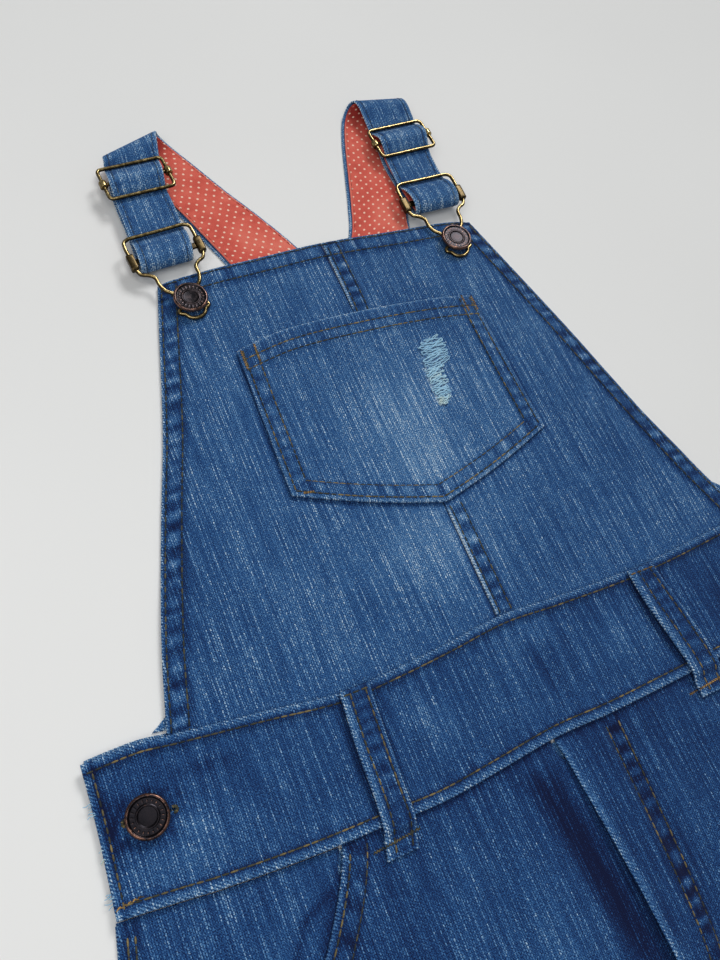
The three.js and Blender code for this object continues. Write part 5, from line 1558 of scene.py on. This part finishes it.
def rounded_rod(half_length, radius, corner):
    """Profile of a rod from one end's middle to the other's, with rounded end corners."""
    a = np.linspace(0, np.pi / 2, 5)
    end = np.column_stack([radius - corner + corner * np.sin(a), half_length - corner + corner * np.cos(a)])
    low = end[::-1] * [1, -1]
    return np.concatenate([[[0.01, -half_length]], low[::-1], end[::-1], [[0.01, half_length]]])


def superellipse_bar(half, corner=0.22, sections=10, sides=20):
    """A block with soft edges about the origin, `half` its half sizes: rounded-square rings along x
    that shrink to the ends."""
    angle = 2 * np.pi * (np.arange(sides) + 0.5) / sides
    c, s = np.cos(angle), np.sin(angle)
    ring = np.column_stack([np.sign(c) * np.abs(c) ** 0.35, np.sign(s) * np.abs(s) ** 0.35])
    t = np.sin(np.linspace(-np.pi / 2, np.pi / 2, sections))
    shrink = (1 - np.abs(t) ** 12) ** 0.5 * corner + (1 - corner)
    shrink = np.concatenate([[0.02], [1 - corner], shrink[1:-1], [1 - corner], [0.02]])
    t = np.concatenate([t[:1], t, t[-1:]])
    points = np.stack([
        half[0] * t[:, None] + 0 * angle,
        half[1] * ring[:, 0] * shrink[:, None],
        half[2] * ring[:, 1] * shrink[:, None],
    ], -1)
    return points, ring_faces(len(points), sides)


def joined(parts):
    """Points and quads of several grids as one."""
    points, faces, total = [], [], 0
    for p, f in parts:
        flat = p.reshape(-1, 3)
        points.append(flat)
        faces.append(f + total)
        total += len(flat)
    return np.concatenate(points), np.concatenate(faces)


def slider_bar(side, place, material):
    """The slider's middle bar, with a rolled sleeve round the wire at each end."""
    sleeve = SLIDER_SLEEVE
    bar = revolved(rounded_rod(SLIDER_HALF_WIDTH - 1.4, SLIDER_BAR_RADIUS, 0.2), 16, "x")
    parts = [bar]
    for sign in (-1, 1):
        points, faces = revolved(rounded_rod(sleeve["length"] / 2, sleeve["radius"], 0.5), 24, "y")
        parts.append((points + [sign * SLIDER_HALF_WIDTH, 0, 0], faces))
    points, faces = joined(parts)
    # Brighter the higher a point reaches: painted highlight on top and painted shade below.
    rub = 0.5 + 0.5 * np.clip(points[:, 2] / sleeve["radius"], -1, 1)
    piece = make_piece(f"slider_bar_{side}_metal", place(points), faces, material, None, {"rub": rub})
    finish_metal(f"slider_bar_{side}")


def buckle_bar(side, place, material):
    """The buckle's flat bar, folded round the wire at each side into a square sleeve."""
    bar, sleeve = BUCKLE_BAR, BUCKLE_SLEEVE
    parts = [superellipse_bar((BUCKLE_HALF_WIDTH - 1.5, bar["depth"] / 2, bar["thickness"] / 2), 0.1)]
    for sign in (-1, 1):
        points, faces = superellipse_bar((sleeve["length"] / 2, sleeve["width"] / 2, sleeve["height"] / 2))
        turned_up = points[..., [1, 0, 2]] * [-1, 1, 1]
        parts.append((turned_up + [sign * BUCKLE_HALF_WIDTH, 0, 0], faces))
    points, faces = joined(parts)
    points = points + [0, bar["y"], 0]
    # Brighter on the upper faces: painted highlight.
    rub = 0.05 + 0.25 * np.clip(points[:, 2] / sleeve["height"] * 2, 0, 1)
    piece = make_piece(f"buckle_bar_{side}_metal", place(points), faces, material, None, {"rub": rub})
    finish_metal(f"buckle_bar_{side}")


# The rub column brightens the rim and the inner ring: worn metal with a painted highlight. The ticks are
# brightened the same way.
BUTTON_FACE = table(
    "r z rub",
    (0.02, 0, 0.1), (2.6, 0, 0.1), (2.5, 0.5, 0.1), (2.2, 1.2, 0.1), (2.2, 3.7, 0.1),
    (5, 3.8, 0.2), (7.6, 4, 0.3), (8.3, 4.35, 0.6), (8.5, 4.8, 1), (8.48, 5.2, 1),
    (8.3, 5.7, 1), (8.0, 6.0, 0.9), (7.6, 6.1, 0.75), (7.2, 6.02, 0.45), (6.95, 5.7, 0.1),
    (6.8, 5.5, 0.05), (6.5, 5.46, 0.1), (4.9, 5.42, 0.1), (4.62, 5.45, 0.15), (4.4, 5.62, 0.42),
    (4.15, 5.66, 0.45), (3.9, 5.6, 0.3), (3.7, 5.4, 0.1), (3.3, 5.34, 0.1), (1.6, 5.26, 0.12),
    (0.02, 5.24, 0.15),
)
PROFILE_STEP = 0.35
BUTTON_SEGMENTS = 120
TICKS = {"count": 20, "radius": 5.75, "width": 0.55, "above": 5, "height": 0.2}


def button(name, node, place, material):
    """A jeans button: a shank and a dished face with a rim, an inner ring and plain ticks."""
    rows = np.stack(list(BUTTON_FACE.values()), -1)
    parts = [rows[:1]]
    for a, b in zip(rows[:-1], rows[1:]):
        count = max(1, int(np.linalg.norm((b - a)[:2]) / PROFILE_STEP))
        parts.append(a + (b - a) * (np.arange(1, count + 1)[:, None] / count))
    r, z, rub = np.concatenate(parts).T
    points, faces = revolved(np.column_stack([r, z]), BUTTON_SEGMENTS)
    angle = 2 * np.pi * np.arange(BUTTON_SEGMENTS) / BUTTON_SEGMENTS
    on_ring = bump(r, TICKS["radius"], TICKS["width"]) * (z > TICKS["above"])
    ticks = ramp(0.75, 0.95, np.cos(angle * TICKS["count"])) * on_ring[:, None]
    points[..., 2] += TICKS["height"] * ticks
    rub = np.clip(rub[:, None] + ticks, 0, 1)
    piece = make_piece(name, place(points.reshape(-1, 3)), faces, material, None, {"rub": rub})
    finish_metal(node)


def hardware(materials):
    loops = {"slider": slider_loop(), "buckle": buckle_loop()}
    brass = materials["wire_brass"]
    for side, strap in STRAPS.items():
        x, y, turn = strap["slider"]
        place = placing(x, y, SLIDER_HEIGHT, turn, 0)
        piece = wire(f"slider_frame_{side}_wire", loops["slider"], WIRE_RADIUS, place, brass)
        finish_metal(f"slider_frame_{side}")
        slider_bar(side, place, brass)
        x, y, turn = strap["buckle"]
        seat = float(bib_lower(np.float64(x), np.float64(y))) + CLOTH + GAP
        place = placing(x, y, seat + BUCKLE_RISE, turn, BUCKLE_TILT)
        piece = wire(f"buckle_wire_{side}_wire", loops["buckle"], WIRE_RADIUS, place, brass)
        finish_metal(f"buckle_wire_{side}")
        buckle_bar(side, place, brass)
        place = placing(x, y, seat, 8, 0)
        node = f"bib_button_{side}"
        button(node + "_metal", node, place, materials["button_copper"])
    for side, sign in SIDES.items():
        place = placing(sign * WAIST_BUTTON["x"], WAIST_BUTTON["y"], FRONT_REST, 3, 0)
        node = f"waist_button_{side}"
        button(node + "_metal", node, place, materials["button_dark"])


# Materials

METAL_ROUGHNESS = 0.3
# Dark, middle and bright colours as a screen shows them
THREADS = {
    "olive": ((28, 38, 48), (52, 58, 54), (96, 92, 68)),
    "gold": ((28, 36, 42), (66, 66, 52), (138, 122, 80)),
    "orange": ((54, 46, 36), (120, 96, 58), (194, 154, 92)),
    "blue": ((30, 46, 70), (58, 76, 92), (96, 104, 98)),
    "red": ((120, 50, 44), (178, 84, 70), (206, 120, 100)),
    "pale": ((122, 168, 202), (166, 208, 230), (222, 222, 190)),
}
METALS = {
    "wire_brass": ((26, 20, 12), (96, 80, 48), (214, 190, 132)),
    "button_copper": ((24, 22, 26), (58, 50, 52), (150, 110, 90)),
    "button_dark": ((14, 12, 18), (30, 26, 30), (150, 108, 88)),
}


def srgb(r, g, b):
    """A colour given as a screen shows it, from 0 to 255, as a shader's linear colour."""
    c = np.array([r, g, b]) / 255
    linear = np.where(c < 0.04045, c / 12.92, ((c + 0.055) / 1.055) ** 2.4)
    return (*linear.tolist(), 1.0)


class Shader:
    """A material's node tree with short ways to add nodes to it."""

    def __init__(self, name, **fixed):
        self.material = bpy.data.materials.new(name)
        self.material.use_nodes = True
        self.tree = self.material.node_tree
        self.surface = self.tree.nodes["Principled BSDF"]
        for key, value in fixed.items():
            self.surface.inputs[key.replace("_", " ")].default_value = value

    def node(self, kind, inputs=None, **settings):
        made = self.tree.nodes.new(kind)
        for key, value in settings.items():
            setattr(made, key, value)
        for key, value in (inputs or {}).items():
            if isinstance(value, bpy.types.NodeSocket):
                self.tree.links.new(value, made.inputs[key])
            else:
                made.inputs[key].default_value = value
        return made

    def math(self, operation, a, b):
        return self.node("ShaderNodeMath", {0: a, 1: b}, operation=operation).outputs[0]

    def times(self, a, b):
        return self.math("MULTIPLY", a, b)

    def between(self, value, low, high, bottom, top):
        """A value between two limits moved to lie between two others, and held there."""
        limits = {"Value": value, 1: low, 2: high, 3: bottom, 4: top}
        return self.node("ShaderNodeMapRange", limits).outputs[0]

    def value(self, name):
        return self.node("ShaderNodeAttribute", attribute_name=name).outputs["Fac"]

    def place(self, output, across, up, turn=0.0, deep=1.0):
        """Coordinates scaled so that one unit is `across` by `up` millimetres."""
        coordinates = self.node("ShaderNodeTexCoord").outputs[output]
        inputs = {"Vector": coordinates, "Scale": (1 / (across * MM), 1 / (up * MM), 1 / (deep * MM))}
        inputs["Rotation"] = (0, 0, math.radians(turn))
        return self.node("ShaderNodeMapping", inputs).outputs[0]

    def noise(self, vector, detail, rough, dimensions="2D"):
        inputs = {"Vector": vector, "Scale": 1.0, "Detail": detail, "Roughness": rough}
        return self.node("ShaderNodeTexNoise", inputs, noise_dimensions=dimensions).outputs["Fac"]

    def wave(self, vector, scale, distortion):
        """Slanting bands."""
        inputs = {"Vector": vector, "Scale": scale, "Distortion": distortion}
        inputs |= {"Detail": 1.0, "Detail Scale": 0.8}
        made = self.node("ShaderNodeTexWave", inputs, wave_type="BANDS", bands_direction="DIAGONAL")
        return made.outputs["Fac"]

    def centred(self, value, size):
        """A texture's value moved to lie about 0 and scaled."""
        return self.times(self.math("SUBTRACT", value, 0.5), size)

    def total(self, *values):
        result = values[0]
        for value in values[1:]:
            result = self.math("ADD", result, value)
        return result

    def ramp(self, value, stops):
        made = self.node("ShaderNodeValToRGB", {"Fac": value})
        elements = made.color_ramp.elements
        while len(elements) < len(stops):
            elements.new(0.5)
        for element, (at, colour) in zip(elements, stops):
            element.position = at
            element.color = colour
        return made.outputs["Color"]

    def set(self, socket, value):
        self.tree.links.new(value, self.surface.inputs[socket])

    def bump(self, height, distance, strength=1.0):
        inputs = {"Height": height, "Distance": distance * MM, "Strength": strength}
        self.set("Normal", self.node("ShaderNodeBump", inputs).outputs["Normal"])


def denim_material():
    """Washed indigo denim. The warp shows as pale dashes laid like bricks on end, stronger in some
    columns than in others, over long faint streaks and a fine twill. The wear and the painted light
    and shade that each point holds are added, and the sum picks the colour."""
    m = Shader("denim", Roughness=0.95, Sheen_Weight=0.03, Sheen_Roughness=0.5, Specular_IOR_Level=0.18)
    cells = {"Vector": m.place("UV", 7, 9), "Scale": 1.0, "Detail": 2.0}
    wobble = m.node("ShaderNodeTexNoise", cells, noise_dimensions="2D").outputs["Color"]
    shift = m.node("ShaderNodeVectorMath", {0: wobble, 1: (0.8, 0.8, 0)}, operation="MULTIPLY")
    moved = {0: m.place("UV", 1, 1, 90), 1: shift.outputs[0]}
    upright = m.node("ShaderNodeVectorMath", moved, operation="ADD")
    dashes = m.node("ShaderNodeTexBrick", {
        "Vector": upright.outputs[0], "Scale": 1.0,
        "Color1": (1, 1, 1, 1), "Color2": (0.4, 0.4, 0.4, 1), "Mortar": (0, 0, 0, 1),
        "Mortar Size": 0.24, "Mortar Smooth": 0.8, "Brick Width": 1.5, "Row Height": 0.95,
    }, offset=0.5).outputs["Color"]
    column = m.noise(m.place("UV", 0.9, 48), 1.0, 0.5)
    columns = m.between(column, 0.4, 0.66, 0.28, 1.0)
    fine = m.noise(m.place("UV", 0.36, 0.6), 1.5, 0.6)
    streak = m.noise(m.place("UV", 0.7, 26), 2.0, 0.6)
    wide_streak = m.noise(m.place("UV", 5, 90), 2.0, 0.5)
    mottle = m.noise(m.place("UV", 12, 15), 3.0, 0.55)
    cloud = m.noise(m.place("UV", 60, 80), 2.0, 0.5)
    twill = m.wave(m.place("UV", 1.0, 1.5), 0.75, 1.0)
    rib = m.wave(m.place("UV", 1.0, 0.75), 0.3, 1.2)
    wear_and_shade, rope = m.value("wear_and_shade"), m.value("rope")
    dash = m.times(dashes, columns)
    grain = m.total(
        m.times(dash, 0.52), m.centred(fine, 1.1), m.centred(streak, 0.26),
        m.centred(wide_streak, 0.08), m.centred(mottle, 0.1), m.centred(cloud, 0.1),
        m.centred(twill, 0.1),
    )
    roping = m.times(rope, m.centred(rib, 0.34))
    # wear_and_shade holds the dye's wear with painted light and shade, and the sum sets the colour for both.
    rubbed = m.times(wear_and_shade, m.math("ADD", 0.17, m.times(fine, 0.24)))
    tone = m.total(grain, roping, rubbed, 0.32)
    m.set("Base Color", m.ramp(tone, [
        (0.0, srgb(8, 18, 52)), (0.22, srgb(16, 43, 88)), (0.46, srgb(36, 79, 131)),
        (0.66, srgb(71, 117, 163)), (0.84, srgb(124, 161, 193)), (1.0, srgb(202, 219, 230)),
    ]))
    height = m.total(
        m.times(dashes, 0.5), m.times(fine, 0.6), m.times(twill, 0.3), m.times(mottle, 0.5),
        m.times(m.times(rope, rib), 1.4),
    )
    m.bump(height, 0.28, 0.8)
    return m.material


def lining_material():
    """Coral cotton with small cream dots in staggered rows, and a fine plain weave."""
    m = Shader("lining", Roughness=0.85, Specular_IOR_Level=0.2)
    dots = m.node(
        "ShaderNodeTexVoronoi", {"Vector": m.place("UV", 4.0, 4.0, 45), "Scale": 1.0, "Randomness": 0.12},
        voronoi_dimensions="2D", feature="F1",
    ).outputs["Distance"]
    weave = m.noise(m.place("UV", 0.4, 0.4), 2.0, 0.6)
    tone = m.noise(m.place("UV", 14, 22), 2.0, 0.5)
    # wear_and_shade holds painted shade (inside the shoulder fold, in hollow bends, along the stitch rows)
    # besides the rubbed pale edges, so this darkens and lightens the lining for both.
    worn = m.times(m.value("wear_and_shade"), 0.24)
    base = m.ramp(m.total(m.centred(weave, 0.6), m.centred(tone, 0.6), worn, 0.45), [
        (0.0, srgb(150, 48, 42)), (0.45, srgb(208, 92, 78)),
        (0.75, srgb(224, 122, 104)), (1.0, srgb(238, 164, 146)),
    ])
    edge = m.math("ADD", dots, m.centred(weave, 0.12))
    inside = m.between(edge, 0.18, 0.12, 0.0, 0.8)
    dots = {0: inside, 6: base, 7: srgb(244, 218, 194)}
    mixed = m.node("ShaderNodeMix", dots, data_type="RGBA").outputs[2]
    m.set("Base Color", mixed)
    m.bump(m.total(weave, m.times(tone, 0.8)), 0.12, 0.6)
    return m.material


def metal_material(name, dark, middle, bright):
    """Antiqued metal: dark where the rub value is low (patina in the hollows, painted shade on the
    undersides), brighter where it is high (worn plating with a painted highlight), with fine scratches.
    """
    m = Shader(name, Metallic=0.85)
    stain_and_shade = m.noise(m.place("Object", 2.4, 2.4, deep=2.4), 4.0, 0.6, dimensions="3D")
    fine = m.noise(m.place("Object", 0.35, 0.35, deep=0.35), 2.0, 0.6, dimensions="3D")
    rub = m.value("rub")
    tone = m.total(m.times(rub, 0.62), m.centred(stain_and_shade, 1.0), m.centred(fine, 0.3), 0.02)
    m.set("Base Color", m.ramp(tone, [(0.0, dark), (0.42, middle), (0.85, bright)]))
    rough = m.math("ADD", METAL_ROUGHNESS, m.centred(stain_and_shade, 0.4))
    m.set("Roughness", m.math("SUBTRACT", rough, m.times(rub, 0.1)))
    m.bump(m.total(stain_and_shade, m.times(fine, 0.5)), 0.04, 0.6)
    return m.material


def thread_material(name, dark, middle, bright):
    """Twisted thread: each stitch has its own tone, with fine twist lines."""
    m = Shader(name, Roughness=0.75, Specular_IOR_Level=0.25)
    twist = m.noise(m.place("Object", 0.3, 0.3, deep=0.3), 2.0, 0.6, dimensions="3D")
    wide = m.noise(m.place("Object", 16, 16, deep=16), 2.0, 0.5, dimensions="3D")
    own = m.times(m.value("tone"), 0.6)
    tone = m.total(own, m.centred(twist, 0.9), m.centred(wide, 1.0), 0.2)
    m.set("Base Color", m.ramp(tone, [(0.05, dark), (0.5, middle), (0.95, bright)]))
    m.bump(twist, 0.08, 0.8)
    return m.material


def floor_material():
    """A plain pale surface, very slightly mottled."""
    m = Shader("floor", Roughness=0.75)
    mottle = m.noise(m.place("Object", 300, 300, deep=300), 2.0, 0.5, dimensions="3D")
    m.set("Base Color", m.ramp(mottle, [(0.0, srgb(222, 222, 220)), (1.0, srgb(232, 232, 230))]))
    return m.material


# Stage


def photo_camera():
    look, up = Vector(CAMERA_LOOK).normalized(), Vector(CAMERA_UP).normalized()
    right = look.cross(up).normalized()
    data = bpy.data.cameras.new("camera")
    data.sensor_width = SENSOR
    data.lens = SENSOR * FOCAL_PIXELS / LONG_SIDE_PIXELS
    data.clip_start, data.clip_end = CLIP
    camera = add_object("camera", data)
    matrix = Matrix((right, right.cross(look).normalized(), -look)).transposed().to_4x4()
    matrix.translation = Vector((np.array(CAMERA_AT) + SHIFT) * MM)
    camera.matrix_world = matrix
    bpy.context.scene.camera = camera


def area_light(name, at, target, size, power):
    """A round white light that faces its target."""
    data = bpy.data.lights.new(name, "AREA")
    data.shape = "DISK"
    data.size = size
    data.energy = power
    light = add_object(name, data)
    light.location = at
    light.rotation_mode = "QUATERNION"
    light.rotation_quaternion = (Vector(target) - Vector(at)).to_track_quat("-Z", "Y")


def studio():
    """A wide pale floor, a soft key light from the upper right, a soft light overhead on the left
    and a pale surround."""
    half = FLOOR_HALF
    mesh = bpy.data.meshes.new("floor")
    corners = [(-half, -half, 0), (half, -half, 0), (half, half, 0), (-half, half, 0)]
    mesh.from_pydata(corners, [], [(0, 1, 2, 3)])
    mesh.materials.append(floor_material())
    floor = add_object("floor", mesh)
    area_light("key", (1.6, 2.0, 2.6), (0, 0.05, 0), 1.3, 66)
    area_light("overhead", (-0.5, -0.25, 1.0), (-0.5, -0.25, 0), 1.2, 7.5)
    world = bpy.data.worlds.new("surround")
    world.use_nodes = True
    back = world.node_tree.nodes["Background"]
    back.inputs["Color"].default_value = (0.93, 0.96, 1.0, 1)
    back.inputs["Strength"].default_value = 0.2
    bpy.context.scene.world = world
    bpy.context.scene.view_settings.view_transform = "Standard"


def cut_buttonholes(band):
    """Cuts an eyelet and a slit through the waistband at each waist button."""
    b = BUTTONHOLE
    for sign in (-1, 1):
        centre = np.array([sign * WAIST_BUTTON["x"], WAIST_BUTTON["y"], 3.0])
        eyelet, faces = revolved([(0.01, -6), (b["eyelet"], -6), (b["eyelet"], 6), (0.01, 6)], 32)
        cutter = make_piece("eyelet_cutter", eyelet.reshape(-1, 3) + centre, faces, band.data.materials[0])
        apply_cut(band, cutter)
        x0 = WAIST_BUTTON["x"] + b["reach"] - b["length"]
        x1 = WAIST_BUTTON["x"] + b["reach"]
        x0, x1 = sorted((sign * x0, sign * x1))
        half = b["width"] / 2
        lean = dict(zip((x0, x1), (b["far_y"], b["near_y"])[::-sign]))
        box = np.array([(x, lean[x] + y, z) for z in (-3, 9) for y in (-half, half) for x in (x0, x1)], float)
        sides = np.array([
            (0, 2, 3, 1), (4, 5, 7, 6), (0, 1, 5, 4), (2, 6, 7, 3), (0, 4, 6, 2), (1, 3, 7, 5)
        ])
        cutter = make_piece("slit_cutter", box, sides, band.data.materials[0])
        apply_cut(band, cutter)


def apply_cut(piece, cutter):
    """Takes the cutter's space out of the piece and removes the cutter."""
    cut = piece.modifiers.new("cut", "BOOLEAN")
    cut.operation = "DIFFERENCE"
    cut.object = cutter
    cut.solver = "EXACT"
    bpy.context.view_layer.update()
    made = piece.evaluated_get(bpy.context.evaluated_depsgraph_get())
    mesh = bpy.data.meshes.new_from_object(made)
    piece.modifiers.clear()
    piece.data = mesh
    bpy.data.objects.remove(cutter)


def make_shortalls():
    denim = denim_material()
    thread = {
        name: thread_material("thread_" + name, *(srgb(*colour) for colour in colours))
        for name, colours in THREADS.items()
    }
    materials = {"denim": denim, "lining": lining_material()}
    for name, colours in METALS.items():
        materials[name] = metal_material(name, *(srgb(*colour) for colour in colours))
    for side, sign in SIDES.items():
        bib_panel(side, denim)
        leg_panel(side, sign, denim)
        facing_panel(side, sign, denim)
        loop_panel(side, denim)
    pocket_panel(denim)
    back_pieces(denim)
    band = band_panel(denim)
    cut_buttonholes(band)
    for side in STRAPS:
        strap_layer(side, "denim", materials)
        strap_layer(side, "lining", materials)
        sew_strap(side, "denim", thread["blue"], 200)
        sew_strap(side, "lining", thread["red"], 220)
    sew_bib(thread["olive"])
    for sew in (sew_pocket, sew_band, sew_loops):
        sew(thread["gold"], thread["orange"])
    sew_legs(thread["gold"])
    distress(thread["pale"])
    frayed_ends(thread["pale"])
    hardware(materials)


photo_camera()
make_shortalls()
studio()
